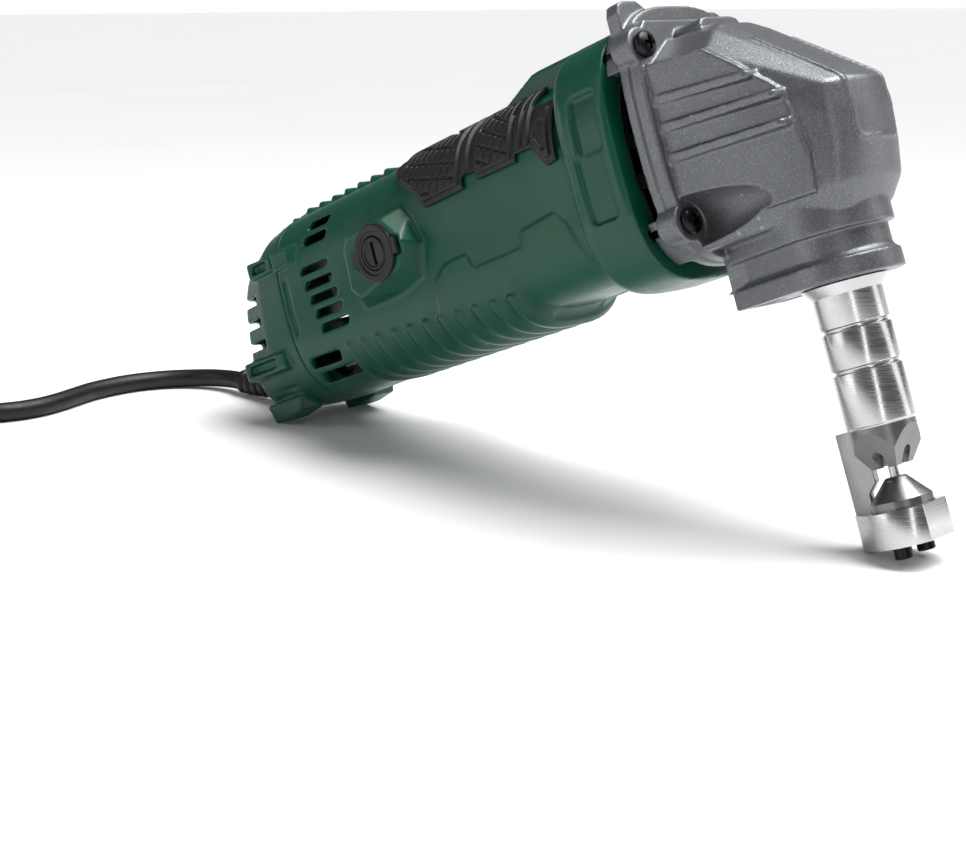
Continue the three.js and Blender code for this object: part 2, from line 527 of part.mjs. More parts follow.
// the end turns of the rotor winding, from the core out to x
function endTurns(core, x) {
  const step = Math.sign(x - core);
  return turnedX([
    [SHAFT + GAP, core + step * GAP], [15.2, core + step * GAP], [15.6, core + step * 4], [11, x],
    [SHAFT + GAP, x]], 0, 24);
}
add("rotor_shaft", turnedX([
  [0, -187], [SHAFT, -187], [SHAFT, -28.7], [PINION.bore - GAP, -28.7], [PINION.bore - GAP, -20],
  [0, -20]], 0, 20), darkSteel());
add("rotor_core", rotorCore(), corePlate());
add("rotor_winding_front", endTurns(CORE.front, -82.4), copper());
add("rotor_winding_rear", endTurns(CORE.rear, -145), copper());
add("commutator", aroundShaft(COMMUTATOR.radius, COMMUTATOR.rear, COMMUTATOR.front), copper());
add("cooling_fan", coolingFan(), blackPlastic());
const pinion = add("motor_pinion", toothed(PINION, -28.4, -20, PINION.bore), darkSteel());
pinion.rotation.x = (0.04 / PINION.teeth) * 2 * Math.PI;

// ---------------------------------------------------------------- stator, baffle, brushes
function statorCore() {
  const poles = [[15.8, 24], [-24, -15.8]].map(([z0, z1]) => box(CORE.rear, CORE.front, -9, 9, z0, z1));
  return unite([ringX(CORE.stator, 22.6, CORE.rear, CORE.front, 0, 24), ...poles]).subtract(
    rodX(CORE.bore, CORE.rear - 1, CORE.front + 1, 0, 0, 24));
}
function fieldCoil(up) {
  const span = (z0, z1) => (up > 0 ? [z0, z1] : [-z1, -z0]);
  return ringX(22.2, 18, CORE.rear - 6, CORE.front + 5, 0, 22)
    .intersect(box(-200, 0, -40, 40, ...span(9.6, 40)))
    .subtract(box(CORE.rear - GAP, CORE.front + GAP, -9.3, 9.3, ...span(0, 40)));
}
add("stator_core", statorCore(), corePlate());
add("field_coil_upper", fieldCoil(1), copper());
add("field_coil_lower", fieldCoil(-1), copper());
add("air_baffle", ringX(26, 19, -84.6, -82.6), blackPlastic());

const BRUSH = { halfX: 3.2, halfZ: 4.2, outer: 22 };
const SPRING = { from: 22.9, to: 31.9, coil: 3.2, wire: 0.42, turns: 4 };

class SpringCurve extends THREE.Curve {
  getPoint(t, target = new THREE.Vector3()) {
    const angle = t * SPRING.turns * 2 * Math.PI;
    const y = SPRING.from + t * (SPRING.to - SPRING.from);
    return target.set(CAP.x + SPRING.coil * Math.cos(angle), y, CAP.z + SPRING.coil * Math.sin(angle));
  }
}
function brushSpring() {
  const wire = new THREE.Shape().absarc(0, 0, SPRING.wire, 0, 2 * Math.PI);
  return solid(new THREE.ExtrudeGeometry(wire, {
    extrudePath: new SpringCurve(), steps: SPRING.turns * 8, curveSegments: 2, bevelEnabled: false }));
}
SIDES.forEach((side, i) => {
  const number = i + 1;
  const onSide = (body) => (side > 0 ? body : body.mirror([0, 1, 0]));
  const rod = (radius, y0, y1) => rodY(radius, y0, y1, CAP.x, CAP.z, 16);
  const block = (x, y0, y1, z) => box(CAP.x - x, CAP.x + x, y0, y1, CAP.z - z, CAP.z + z);
  const holder = cut(rod(CAP.radius, 13.6, 31), [
    block(BRUSH.halfX + GAP, 0, 24, BRUSH.halfZ + GAP), rod(5.2, 23, 40)]);
  const cap = unite([
    rod(CAP.radius, 33, CAP.face + 0.5), rod(CAP.rim, CAP.face + GAP, CAP.face + 1.4),
    block(CAP.ear, CAP.face + GAP, CAP.face + 1.4, 2.9)]).subtract(block(0.8, CAP.face, CAP.face + 3, 5));
  add(`brush_holder_${number}`, onSide(holder), brass());
  add(`carbon_brush_${number}`,
    onSide(block(BRUSH.halfX, COMMUTATOR.radius + 2 * GAP, BRUSH.outer, BRUSH.halfZ)), carbon());
  add(`brush_spring_${number}`, onSide(brushSpring()), turnedSteel());
  add(`brush_cap_${number}`, onSide(cap), blackPlastic());
});

// ---------------------------------------------------------------- crank, ram and punch
add("crank_shaft", unite([
  rodX(CRANK.rearJournal, -36.6, -29, 0, CRANK_Z, 16),
  rodX(CRANK.radius, -29.2, -10.4, 0, CRANK_Z, 14),
  rodX(8.5, -10.8, -7.5, 0, CRANK_Z, 16),
  rodX(CRANK.pin, -7.6, 7, STROKE, CRANK_Z, 14)]), darkSteel());
const gear = add("drive_gear", toothed(GEAR, -28.2, -20.4, CRANK.radius + GAP), darkSteel());
gear.position.z = CRANK_Z;
gear.rotation.x = (-0.21 / GEAR.teeth) * 2 * Math.PI;
add("crank_roller", ringX(ROLLER.outer, CRANK.pin + GAP, -ROLLER.half, ROLLER.half, 0, 20)
  .translate([0, STROKE, CRANK_Z]), turnedSteel());

function ram() {
  const { half, y, low, top, slotY, slotZ } = YOKE;
  const frame = box(-half, half, -y, y, low, top).subtract(
    box(-10, 10, -slotY, slotY, CRANK_Z - slotZ, CRANK_Z + slotZ));
  return cut(frame.add(rodZ(RAM.radius, RAM.bottom, low + 1, 0, 0, 16)), [
    rodZ(PUNCH.shank + GAP, RAM.bottom - 1, PUNCH.top, 0, 0, 16),
    rodX(1.6, -10, 0, 0, RAM.screwZ, 12)]);
}
add("ram", ram(), darkSteel());
add("punch", turnedZ([
  [0, PUNCH.end], [PUNCH.tip, PUNCH.end], [PUNCH.tip, PUNCH.step], [PUNCH.shank, PUNCH.step + 4],
  [PUNCH.shank, PUNCH.top - GAP], [0, PUNCH.top - GAP]], 20), turnedSteel());
add("punch_screw", rodX(1.3, -RAM.radius + GAP, -PUNCH.shank - GAP, 0, RAM.screwZ, 10), blackScrew());
add("ram_bush", turnedZ([
  [RAM.radius + GAP, BUSH.bottom], [BUSH.radius, BUSH.bottom], [BUSH.radius, BUSH.top],
  [RAM.radius + GAP, BUSH.top]], 20), brass());

// ---------------------------------------------------------------- die carrier and die
function dieCarrier() {
  const groove = (z) => [[SLEEVE.radius, z + 0.9], [SLEEVE.radius - 0.9, z], [SLEEVE.radius, z - 0.9]];
  const turned = turnedZ([
    [SPIGOT.bore, SPIGOT.top], [SPIGOT.radius, SPIGOT.top], [SPIGOT.radius, SLEEVE.coneTop],
    [SLEEVE.cone, SLEEVE.coneTop], [SLEEVE.radius, SLEEVE.top], ...SLEEVE_GROOVES.flatMap(groove),
    [SLEEVE.radius, SLEEVE.bottom], [NOSE.band, SLEEVE.bottom - 0.4], [NOSE.band, NOSE.bandEnd],
    [NOSE.tipRadius, NOSE.tip], [NOSE.tipBore, NOSE.tip], [NOSE.tipBore, -107], [NOSE.bore, -105],
    [NOSE.bore, -99], [SLEEVE.bore, -96], [SLEEVE.bore, BUSH.bottom - 1], [SPIGOT.bore, BUSH.bottom - 1],
  ], 24);
  const web = prismY([
    [WEB.rear, BLOCK.bottom + 2], [WEB.rear, WEB.top], [-8, SLEEVE.bottom], [-5, -104], [-5.4, -110.4],
    [WEB.front, -112.6], [WEB.front, -116], [-9.7, -119.2], [-9.7, BLOCK.bottom + 2]], -WEB.half, WEB.half);
  const plan = [];
  for (let degrees = -117; degrees <= 117; degrees += 13) {
    const angle = degrees * (Math.PI / 180);
    plan.push([Math.min(BLOCK.radius * Math.cos(angle), BLOCK.flat), BLOCK.radius * Math.sin(angle)]);
  }
  for (let degrees = 116; degrees <= 244; degrees += 16) {
    const angle = degrees * (Math.PI / 180);
    plan.push([BLOCK.lobeAt + BLOCK.lobe * Math.cos(angle), BLOCK.lobe * Math.sin(angle)]);
  }
  return cut(unite([turned, web, prismZ(plan, BLOCK.bottom, BLOCK.top)]), [
    rodZ(DIE.base + GAP, DIE.baseBottom - GAP, BLOCK.top + 1, 0, 0, 20),
    rodZ(DIE.relief + 0.6, BLOCK.bottom - 1, BLOCK.top, 0, 0, 16),
    ...SIDES.map((side) =>
      rodZ(DIE_SCREW.shank + GAP, BLOCK.bottom - 1, BLOCK.top, 0, side * DIE_SCREW.y, 12))]);
}
function die() {
  const shape = turnedZ([
    [DIE.bore, DIE.top], [DIE.tip, DIE.top], [DIE.base, BLOCK.top + 0.9], [DIE.base, DIE.baseBottom],
    [DIE.relief, DIE.baseBottom], [DIE.relief, -120], [DIE.bore, -119]], 20);
  return cut(shape, SIDES.map((side) =>
    rodZ(DIE_SCREW.shank + GAP, DIE.baseBottom - 1, -123.4, 0, side * DIE_SCREW.y, 12)));
}
function dieScrew() {
  const { head, headHeight, shank } = DIE_SCREW;
  const under = BLOCK.bottom - headHeight;
  return rodZ(head, under, BLOCK.bottom - GAP, 0, 0, 16).add(rodZ(shank, under, -123.8, 0, 0, 12))
    .subtract(rodZ(1.45, under - 1, under + 2, 0, 0, 6));
}
add("die_carrier", dieCarrier(), turnedSteel());
add("die", die(), darkSteel());
SIDES.forEach((side, i) => {
  add(`die_screw_${i + 1}`, dieScrew(), blackScrew()).position.y = side * DIE_SCREW.y;
});

// ---------------------------------------------------------------- cord guard in the tail
add("cord_lead_in", rodX(CORD.radius, GUARD.seat + GAP, LEAD_IN_END, 0, CORD_EXIT.z, 12), rubber());

// the rubber guard is turned straight, then bent upward until it leaves level with the bench
function cordGuard() {
  const radiusAt = (s) => GUARD.start + (GUARD.end - GUARD.start) * (s / GUARD.length);
  const section = [
    [0, GUARD.seat], [GUARD.flange, GUARD.seat], [GUARD.flange, GUARD.seat - 2.1],
    [GUARD.start, GUARD.seat - 2.1], [GUARD.start, CORD_EXIT.x], [radiusAt(7), CORD_EXIT.x - 7]];
  const pitch = (GUARD.length - GUARD.smooth) / GUARD.rings;
  for (let i = 0; i < GUARD.rings; i += 1) {
    const s = GUARD.smooth + i * pitch;
    section.push(
      [radiusAt(s) - 1, CORD_EXIT.x - s], [radiusAt(s) - 1, CORD_EXIT.x - s - pitch * 0.3],
      [radiusAt(s), CORD_EXIT.x - s - pitch * 0.45], [radiusAt(s), CORD_EXIT.x - s - pitch]);
  }
  section.push([0, CORD_EXIT.x - GUARD.length]);
  const straight = latheOf(section, 12).rotateZ(-Math.PI / 2);
  const place = straight.attributes.position;
  for (let i = 0; i < place.count; i += 1) {
    const s = Math.max(CORD_EXIT.x - place.getX(i), 0);
    const angle = s / GUARD_BEND;
    const reach = GUARD_BEND - place.getZ(i);
    const x = s > 0 ? CORD_EXIT.x - reach * Math.sin(angle) : place.getX(i);
    place.setXYZ(i, x, place.getY(i), CORD_EXIT.z + GUARD_BEND - reach * Math.cos(angle));
  }
  return solid(straight);
}
add("cord_guard", cordGuard(), rubber());

// ---------------------------------------------------------------- resting place on the bench
tool.rotation.y = -TILT;
tool.position.z = -(WEB.rear * Math.sin(TILT) + BLOCK.bottom * Math.cos(TILT));
const stance = new THREE.Box3().setFromObject(tool, true);
tool.position.x = -(stance.min.x + stance.max.x) / 2;
tool.updateMatrixWorld();

// ---------------------------------------------------------------- cord on the bench
// route of the free cord from the guard's end: x and y offsets, and height above the bench
const ROUTE = [
  [-0.5, 0, 5.5], [-6, 0, 5.4], [-12, -0.4, 5.1], [-19.5, -2.6, 4.7], [-27, -7.2, 4.25], [-33.2, -13.8, 4],
  [-37.4, -21.8, 3.85], [-39.4, -31, 3.85], [-39.2, -41, 3.85], [-37.2, -52, 3.85], [-33.4, -62, 3.85],
  [-29.6, -71.8, 3.85], [-27.2, -82, 3.85], [-28, -92.4, 3.85], [-32, -102, 3.95], [-38.4, -110, 4.25],
  [-45.8, -116.8, 4.6]];
const guardEnd = tool.localToWorld(new THREE.Vector3(
  CORD_EXIT.x - GUARD_BEND * Math.sin(TILT), 0, CORD_EXIT.z + GUARD_BEND * (1 - Math.cos(TILT))));
cordSet.position.set(guardEnd.x, 0, 0);

function cordTube(points, steps) {
  const route = new THREE.CatmullRomCurve3(points.map((p) => new THREE.Vector3(...p)));
  const section = new THREE.Shape().absarc(0, 0, CORD.radius, 0, 2 * Math.PI);
  return solid(new THREE.ExtrudeGeometry(section, {
    extrudePath: route, steps, curveSegments: 5, bevelEnabled: false }));
}
add("cord_tube", cordTube(ROUTE, 14), rubber(), cordSet);

// the coil: turns a diameter apart, in two columns; the cord meets it along a tangent of the outer one
const turn = 2 * CORD.radius;
const ringInner = CORD.column - turn;
const ringOuter = CORD.column + turn;
const ringBottom = CORD.clear + TIE.thick + GAP;
const ringTop = ringBottom + CORD.layers * turn;
const routeEnd = new THREE.Vector3(...ROUTE.at(-1));
const arrival = routeEnd.clone().sub(new THREE.Vector3(...ROUTE.at(-2))).setZ(0).normalize();
const outerColumn = CORD.column + CORD.radius;
const runIn = Math.sqrt((ringOuter + CORD.radius + 2 * GAP) ** 2 - outerColumn ** 2);
const coil = new THREE.Group();
coil.position.set(
  routeEnd.x + arrival.x * runIn - arrival.y * outerColumn,
  routeEnd.y + arrival.y * runIn + arrival.x * outerColumn, 0);
coil.rotation.z = Math.atan2(arrival.y, arrival.x) - Math.PI / 2;
cordSet.add(coil);

add("cord_coil", turnedZ([
  [ringInner, ringBottom], [ringOuter, ringBottom], [ringOuter, ringTop], [ringInner, ringTop]], 32),
rubber(), coil);
const tie = add("coil_tie", box(ringInner - 0.6 - TIE.thick, ringOuter + GAP + TIE.thick, -TIE.half, TIE.half,
  CORD.clear, ringTop + GAP + TIE.thick).subtract(
  box(ringInner - 0.6, ringOuter + GAP, -9, 9, ringBottom - GAP, ringTop + GAP)), blackPlastic(), coil);
tie.rotation.z = -Math.PI / 2;

// the cord's end leaves the top of the inner column and turns in, over the coil, to the plug
const END_TURN = { radius: 30, angle: Math.PI / 3, straight: 4 };
const plugHeight = ringTop + GAP + PLUG.thick / 2;
const endLow = ringTop + GAP + CORD.radius;
const endPoints = [];
for (let i = 0; i <= 6; i += 1) {
  const angle = (i / 6) * END_TURN.angle;
  const rise = THREE.MathUtils.smoothstep(i, 0, 6) * (plugHeight - endLow);
  endPoints.push([
    ringInner + CORD.radius + END_TURN.radius * (Math.cos(angle) - 1),
    END_TURN.radius * Math.sin(angle), endLow + rise]);
}
const [lastX, lastY, lastZ] = endPoints.at(-1);
endPoints.push([
  lastX - END_TURN.straight * Math.sin(END_TURN.angle),
  lastY + END_TURN.straight * Math.cos(END_TURN.angle), lastZ]);
const loose = new THREE.Group();
loose.rotation.z = Math.PI / 2;
coil.add(loose);
add("cord_end", cordTube(endPoints, 5), rubber(), loose);

const plug = new THREE.Group();
plug.position.set(...endPoints.at(-1));
plug.rotation.z = Math.PI / 2 + END_TURN.angle;
loose.add(plug);
function plugBody() {
  const { half, thick, length } = PLUG;
  const level = [[4.6, 4.6, GAP], [5.4, 5.4, 7], [half - 3, thick / 2 - 1.6, 13], [half, thick / 2 - 0.2, 19],
    [half, thick / 2 - 0.2, length - 1.5], [half - 1.5, thick / 2 - 1.6, length]];
  const points = level.slice(2).flatMap(([y, z, x]) => [-1, 1].flatMap((a) => [-1, 1].flatMap((b) => [
    [x, a * y, b * (z - 3)], [x, a * (y - 3), b * z]])));
  return hull(points).add(rodX(level[0][0], GAP, 14, 0, 0, 20, level[1][0]));
}
add("plug_body", plugBody(), rubber(), plug);
SIDES.forEach((side, i) => {
  add(`plug_pin_${i + 1}`, rodX(PLUG.pinRadius, PLUG.length + GAP, PLUG.length + PLUG.pinLength,
    side * PLUG.pinY, 0, 14), brass(), plug);
});

export default nibbler;
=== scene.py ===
"""Looks of the nibbler: finely shaped housings, head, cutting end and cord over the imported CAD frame.

Shapes are drawn in the tool's own frame in millimetres, motor axis along +X and punch axis along -Z at x = 0,
and are then taken to the resting place on the bench.
"""

import json
import math

import bmesh
import bpy
from mathutils import Matrix, Vector


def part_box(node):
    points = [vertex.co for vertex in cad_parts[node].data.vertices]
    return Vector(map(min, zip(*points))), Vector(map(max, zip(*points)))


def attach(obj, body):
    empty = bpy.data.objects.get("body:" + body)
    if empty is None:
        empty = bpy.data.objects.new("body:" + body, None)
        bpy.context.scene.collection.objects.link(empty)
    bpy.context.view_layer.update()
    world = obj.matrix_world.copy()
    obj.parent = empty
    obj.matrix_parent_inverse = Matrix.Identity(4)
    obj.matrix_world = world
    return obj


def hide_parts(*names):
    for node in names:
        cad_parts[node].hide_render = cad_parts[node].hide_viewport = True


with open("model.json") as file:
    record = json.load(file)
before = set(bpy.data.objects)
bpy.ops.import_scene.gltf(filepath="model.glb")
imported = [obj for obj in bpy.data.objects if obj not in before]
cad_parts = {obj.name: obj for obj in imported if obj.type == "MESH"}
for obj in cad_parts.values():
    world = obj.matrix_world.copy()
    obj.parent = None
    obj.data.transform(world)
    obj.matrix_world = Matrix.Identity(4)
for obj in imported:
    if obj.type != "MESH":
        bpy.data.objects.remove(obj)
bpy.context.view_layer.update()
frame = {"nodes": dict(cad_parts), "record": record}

# ------------------------------------------------------------------ driving dimensions, mm
MM = 0.001
WALL = 2.6
GAP = 0.3
BAND = {"front": -44, "rear": -67, "half": 33, "top": 38, "bottom": -43.4}
SEAM = -224
TAIL = {"rear": -256, "slant": 0.2}
FLANGE = {"rear": -38, "front": -30, "half": 30.5, "high": 41.2, "foot": -43.6}
FLANGE_SCREW = {"y": 25.2, "z": 27.2, "head": 4.1, "length": 26}
NECK = {"top": -37, "bottom": -56.4, "radius": 18.8, "waist": 16.6, "rear": -31.8, "rear_half": 11.5}
SLEEVE = {"radius": 10.5, "cone": 13, "cone_top": -56.8, "top": -60, "bottom": -99, "bore": 7.2}
SPIGOT = {"radius": 11.9, "bore": 8.9, "top": -46.3}
NOSE = {"band": 10, "band_end": -101, "top": -99.8, "tip": -112.3, "tip_half": 4.3, "bore": 1.9}
WEB = {"rear": -16.3, "front": -6.6, "half": 1.3, "top": -100}
BLOCK = {"top": -124.6, "bottom": -135.3, "radius": 12.3, "flat": 10.6, "lobe": 6, "lobe_at": -10.3}
DIE = {"base": 9.2, "skirt": -121.6, "tip": 3.4, "top": -115.6, "bore": 1.75}
DIE_SCREW = {"y": 6, "head": 2.75, "height": 3.8}
CAP = {"x": -156, "z": -1.5, "face": 38.2, "radius": 7.6, "rim": 10.2}
CORD_RADIUS = 3.75
CORD_EXIT = (-263.4, -29)
GUARD = {"length": 40, "smooth": 15, "start": 6.4, "end": 4.85, "rings": 5, "flange": 8.6, "seat": -256.6}
BUMPER = (-256, -45.5)
GEAR_CENTRE = Vector((-24.3, 0, -18.5))

TILT = math.atan2(BUMPER[1] - BLOCK["bottom"], WEB["rear"] - BUMPER[0])
low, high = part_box("drive_gear")
TOOL = (Matrix.Translation((low + high) / 2) @ Matrix.Rotation(-TILT, 4, "Y")
        @ Matrix.Scale(MM, 4) @ Matrix.Translation(-GEAR_CENTRE))
SIDES = (-1, 1)


# ------------------------------------------------------------------ camera
def place_camera():
    azimuth, elevation, roll = math.radians(45.53), math.radians(13.73), math.radians(-0.38)
    camera = bpy.data.objects.new("camera", bpy.data.cameras.new("camera"))
    back = Vector((math.sin(azimuth) * math.cos(elevation), -math.cos(azimuth) * math.cos(elevation),
                   math.sin(elevation)))
    camera.matrix_world = (Matrix.Translation((0.4159, -0.4309, 0.1593))
                           @ back.to_track_quat("Z", "Y").to_matrix().to_4x4()
                           @ Matrix.Rotation(roll, 4, "Z"))
    camera.data.lens = 64.73
    camera.data.sensor_width = 36
    bpy.context.scene.collection.objects.link(camera)
    bpy.context.scene.camera = camera


place_camera()


# ------------------------------------------------------------------ solids, in mm
def solid(verts, faces):
    mesh = bpy.data.meshes.new("solid")
    mesh.from_pydata([tuple(v) for v in verts], [], faces)
    work = bmesh.new()
    work.from_mesh(mesh)
    bmesh.ops.remove_doubles(work, verts=work.verts, dist=1e-4)
    bmesh.ops.recalc_face_normals(work, faces=work.faces)
    work.to_mesh(mesh)
    work.free()
    obj = bpy.data.objects.new("solid", mesh)
    bpy.context.scene.collection.objects.link(obj)
    return obj


def spot(axis, u, v, along):
    """A point from two coordinates across an axis and one along it."""
    return {"x": (along, u, v), "y": (u, along, v), "z": (u, v, along)}[axis]


def rings_solid(rings, closed=False):
    """A skin through rings of equal size; the ends are filled unless the rings close on themselves."""
    count = len(rings[0])
    verts = [p for ring in rings for p in ring]
    faces = []
    last = len(rings) if closed else len(rings) - 1
    for r in range(last):
        a, b = r * count, ((r + 1) % len(rings)) * count
        faces += [(a + i, a + (i + 1) % count, b + (i + 1) % count, b + i) for i in range(count)]
    if not closed:
        faces += [tuple(range(count)), tuple(reversed(range(len(verts) - count, len(verts))))]
    return solid(verts, faces)


def prism(axis, outline, lo, hi):
    return rings_solid([[spot(axis, u, v, along) for u, v in outline] for along in (lo, hi)])


def box(x0, x1, y0, y1, z0, z1):
    return prism("z", [(x0, y0), (x1, y0), (x1, y1), (x0, y1)], z0, z1)


def polar(radius, degrees):
    angle = math.radians(degrees)
    return radius * math.cos(angle), radius * math.sin(angle)


def circle(radius, centre=(0, 0), facets=64, start=0.0):
    return [(centre[0] + radius * math.cos(start + 2 * math.pi * i / facets),
             centre[1] + radius * math.sin(start + 2 * math.pi * i / facets)) for i in range(facets)]


def rod(axis, radius, lo, hi, centre=(0, 0), end_radius=None, facets=64):
    end_radius = radius if end_radius is None else end_radius
    return rings_solid([[spot(axis, u, v, lo) for u, v in circle(radius, centre, facets)],
                        [spot(axis, u, v, hi) for u, v in circle(end_radius, centre, facets)]])


def turned(axis, section, centre=(0, 0), facets=96):
    """Turned from pairs of radius and height; a section that starts on the axis ends there too."""
    on_axis = section[0][0] == 0
    tiny = 1e-5
    rings = [[spot(axis, u, v, h) for u, v in circle(max(r, tiny), centre, facets)] for r, h in section]
    return rings_solid(rings, closed=not on_axis)


def hull(points):
    work = bmesh.new()
    for point in points:
        work.verts.new(point)
    made = bmesh.ops.convex_hull(work, input=work.verts)
    loose = {g for g in made["geom_interior"] + made["geom_unused"] if isinstance(g, bmesh.types.BMVert)}
    bmesh.ops.delete(work, geom=list(loose), context="VERTS")
    mesh = bpy.data.meshes.new("hull")
    work.to_mesh(mesh)
    work.free()
    obj = bpy.data.objects.new("hull", mesh)
    bpy.context.scene.collection.objects.link(obj)
    return obj


def superellipse(power, count=120):
    points = []
    for i in range(count):
        c, s = math.cos(2 * math.pi * i / count), math.sin(2 * math.pi * i / count)
        points.append((math.copysign(abs(c) ** (2 / power), c), math.copysign(abs(s) ** (2 / power), s)))
    return points


def loft(stations, offset=0.0, power=2.9):
    """A skin through stations (x, half width, top, bottom, slant), grown by offset."""
    rings = []
    for x, half, top, bottom, slant in stations:
        middle, tall = (top + bottom) / 2, (top - bottom) / 2 + offset
        ring = []
        for u, v in superellipse(power):
            z = middle + v * tall
            ring.append((x + slant * z, u * (half + offset), z))
        rings.append(ring)
    return rings_solid(rings)


def settle(obj):
    """Applies the modifiers."""
    graph = bpy.context.evaluated_depsgraph_get()
    mesh = bpy.data.meshes.new_from_object(obj.evaluated_get(graph))
    obj.modifiers.clear()
    edge_highlight_and_old_mesh, obj.data = obj.data, mesh
    bpy.data.meshes.remove(edge_highlight_and_old_mesh)
    return obj


def boolean(base, others, operation):
    for other in others:
        step = base.modifiers.new("step", "BOOLEAN")
        step.operation = operation
        step.solver = "MANIFOLD"
        step.object = other
    settle(base)
    for other in others:
        mesh = other.data
        bpy.data.objects.remove(other)
        bpy.data.meshes.remove(mesh)
    return base


def joined(base, *others):
    return boolean(base, others, "UNION")


def carved(base, *others):
    return boolean(base, others, "DIFFERENCE")


def shared(base, *others):
    return boolean(base, others, "INTERSECT")


def rotated(obj, degrees, axis="Z"):
    obj.data.transform(Matrix.Rotation(math.radians(degrees), 4, axis))
    return obj


def mirrored(obj):
    """A copy on the other side of y = 0."""
    other = obj.copy()
    other.data = obj.data.copy()
    other.data.transform(Matrix.Scale(-1, 4, (0, 1, 0)))
    other.data.flip_normals()
    bpy.context.scene.collection.objects.link(other)
    return other


def both(make):
    """A shape drawn on the y > 0 side, and its mirror image."""
    return [found for shape in make for found in (shape, mirrored(shape))]


def softened(obj, grain, passes):
    """An even skin with the small radii of a moulding or casting."""
    skin = obj.modifiers.new("skin", "REMESH")
    skin.mode = "VOXEL"
    skin.voxel_size = grain
    smooth = obj.modifiers.new("smooth", "SMOOTH")
    smooth.factor = 0.5
    smooth.iterations = passes
    return settle(obj)


def crisp(obj, width=0.25, segments=2):
    """Machined edges: a small bevel on each."""
    bevel = obj.modifiers.new("bevel", "BEVEL")
    bevel.width = width
    bevel.segments = segments
    bevel.limit_method = "ANGLE"
    bevel.angle_limit = math.radians(28)
    bevel.use_clamp_overlap = True
    bevel.harden_normals = False
    return settle(obj)


def piece(obj, name, body, finish, slot, *nodes, edge=180, place=TOOL):
    """Gives a finished shape its name, place, material and body."""
    obj.name = name
    obj.data.transform(place)
    obj.data.materials.clear()
    obj.data.materials.append(finish)
    obj.data.polygons.foreach_set("use_smooth", [True] * len(obj.data.polygons))
    if edge < 180:
        obj.data.set_sharp_from_angle(angle=math.radians(edge))
    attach(obj, body)
    if nodes:
        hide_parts(*nodes)
    return obj


# ------------------------------------------------------------------ finishes
class Finish:
    """A node material whose colour, roughness and relief all vary over the surface."""

    def __init__(self, name, color, roughness, metallic=0.0, specular=0.32):
        self.material = bpy.data.materials.new(name)
        self.material.use_nodes = True
        self.nodes = self.material.node_tree.nodes
        self.links = self.material.node_tree.links
        self.shader = self.nodes["Principled BSDF"]
        self.shader.inputs["Metallic"].default_value = metallic
        self.shader.inputs["Specular IOR Level"].default_value = specular
        self.place = self.nodes.new("ShaderNodeTexCoord").outputs["Object"]
        self.color = color
        self.roughness = roughness
        self.relief = None

    def noise(self, scale, detail=3.0, stretch=None):
        texture = self.nodes.new("ShaderNodeTexNoise")
        texture.inputs["Scale"].default_value = scale
        texture.inputs["Detail"].default_value = detail
        place = self.place
        if stretch:
            mapping = self.nodes.new("ShaderNodeMapping")
            mapping.inputs["Rotation"].default_value = (0, TILT, 0)
            mapping.inputs["Scale"].default_value = stretch
            self.links.new(place, mapping.inputs["Vector"])
            place = mapping.outputs["Vector"]
        self.links.new(place, texture.inputs["Vector"])
        return texture.outputs["Fac"]

    def span(self, factor, low, high, start=0.35, end=0.65):
        ranged = self.nodes.new("ShaderNodeMapRange")
        ranged.inputs["From Min"].default_value = start
        ranged.inputs["From Max"].default_value = end
        ranged.inputs["To Min"].default_value = low
        ranged.inputs["To Max"].default_value = high
        self.links.new(factor, ranged.inputs["Value"])
        return ranged.outputs["Result"]

    def mixed(self, factor, first, second):
        mix = self.nodes.new("ShaderNodeMix")
        mix.data_type = "RGBA"
        self.links.new(factor, mix.inputs["Factor"])
        for socket, value in ((mix.inputs["A"], first), (mix.inputs["B"], second)):
            if isinstance(value, bpy.types.NodeSocket):
                self.links.new(value, socket)
            else:
                socket.default_value = (*value, 1)
        return mix.outputs["Result"]

    def mottle(self, scale, depth):
        """Broad drift of the colour."""
        shade = tuple(c * (1 - depth) for c in self.color)
        self.tone = self.mixed(self.span(self.noise(scale), 0, 1), self.color, shade)
        self.links.new(self.tone, self.shader.inputs["Base Color"])
        return self

    def speckle(self, scale, color, amount):
        flecks = self.span(self.noise(scale, 2.0), 0, amount, 0.52, 0.72)
        self.tone = self.mixed(flecks, self.tone, color)
        self.links.new(self.tone, self.shader.inputs["Base Color"])
        return self

    def edge_highlight_and_old_mesh(self, color, amount, start=0.54, end=0.64):
        """Painted highlight: paler along the raised edges, where light would catch them."""
        edge = self.nodes.new("ShaderNodeNewGeometry").outputs["Pointiness"]
        self.tone = self.mixed(self.span(edge, 0, amount, start, end), self.tone, color)
        self.links.new(self.tone, self.shader.inputs["Base Color"])
        return self

    def gloss(self, scale, spread, stretch=None):
        low, high = self.roughness - spread, self.roughness + spread
        self.links.new(self.span(self.noise(scale, 4.0, stretch), low, high), self.shader.inputs["Roughness"])
        return self

    def grain(self, scale, strength, distance=0.0002, stretch=None, detail=3.0):
        bump = self.nodes.new("ShaderNodeBump")
        bump.inputs["Strength"].default_value = strength
        bump.inputs["Distance"].default_value = distance
        self.links.new(self.noise(scale, detail, stretch), bump.inputs["Height"])
        if self.relief:
            self.links.new(self.relief, bump.inputs["Normal"])
        self.relief = bump.outputs["Normal"]
        self.links.new(self.relief, self.shader.inputs["Normal"])
        return self


def moulded(name, color, roughness, grain=0.12):
    finish = Finish(name, color, roughness).mottle(38, 0.16).gloss(120, 0.05)
    # painted highlight: a paler colour along the raised edges
    finish.edge_highlight_and_old_mesh(tuple(min(1, c * 1.5 + 0.002) for c in color), 0.5)
    return finish.grain(2600, grain, 0.00008).grain(180, 0.05, 0.0003).material


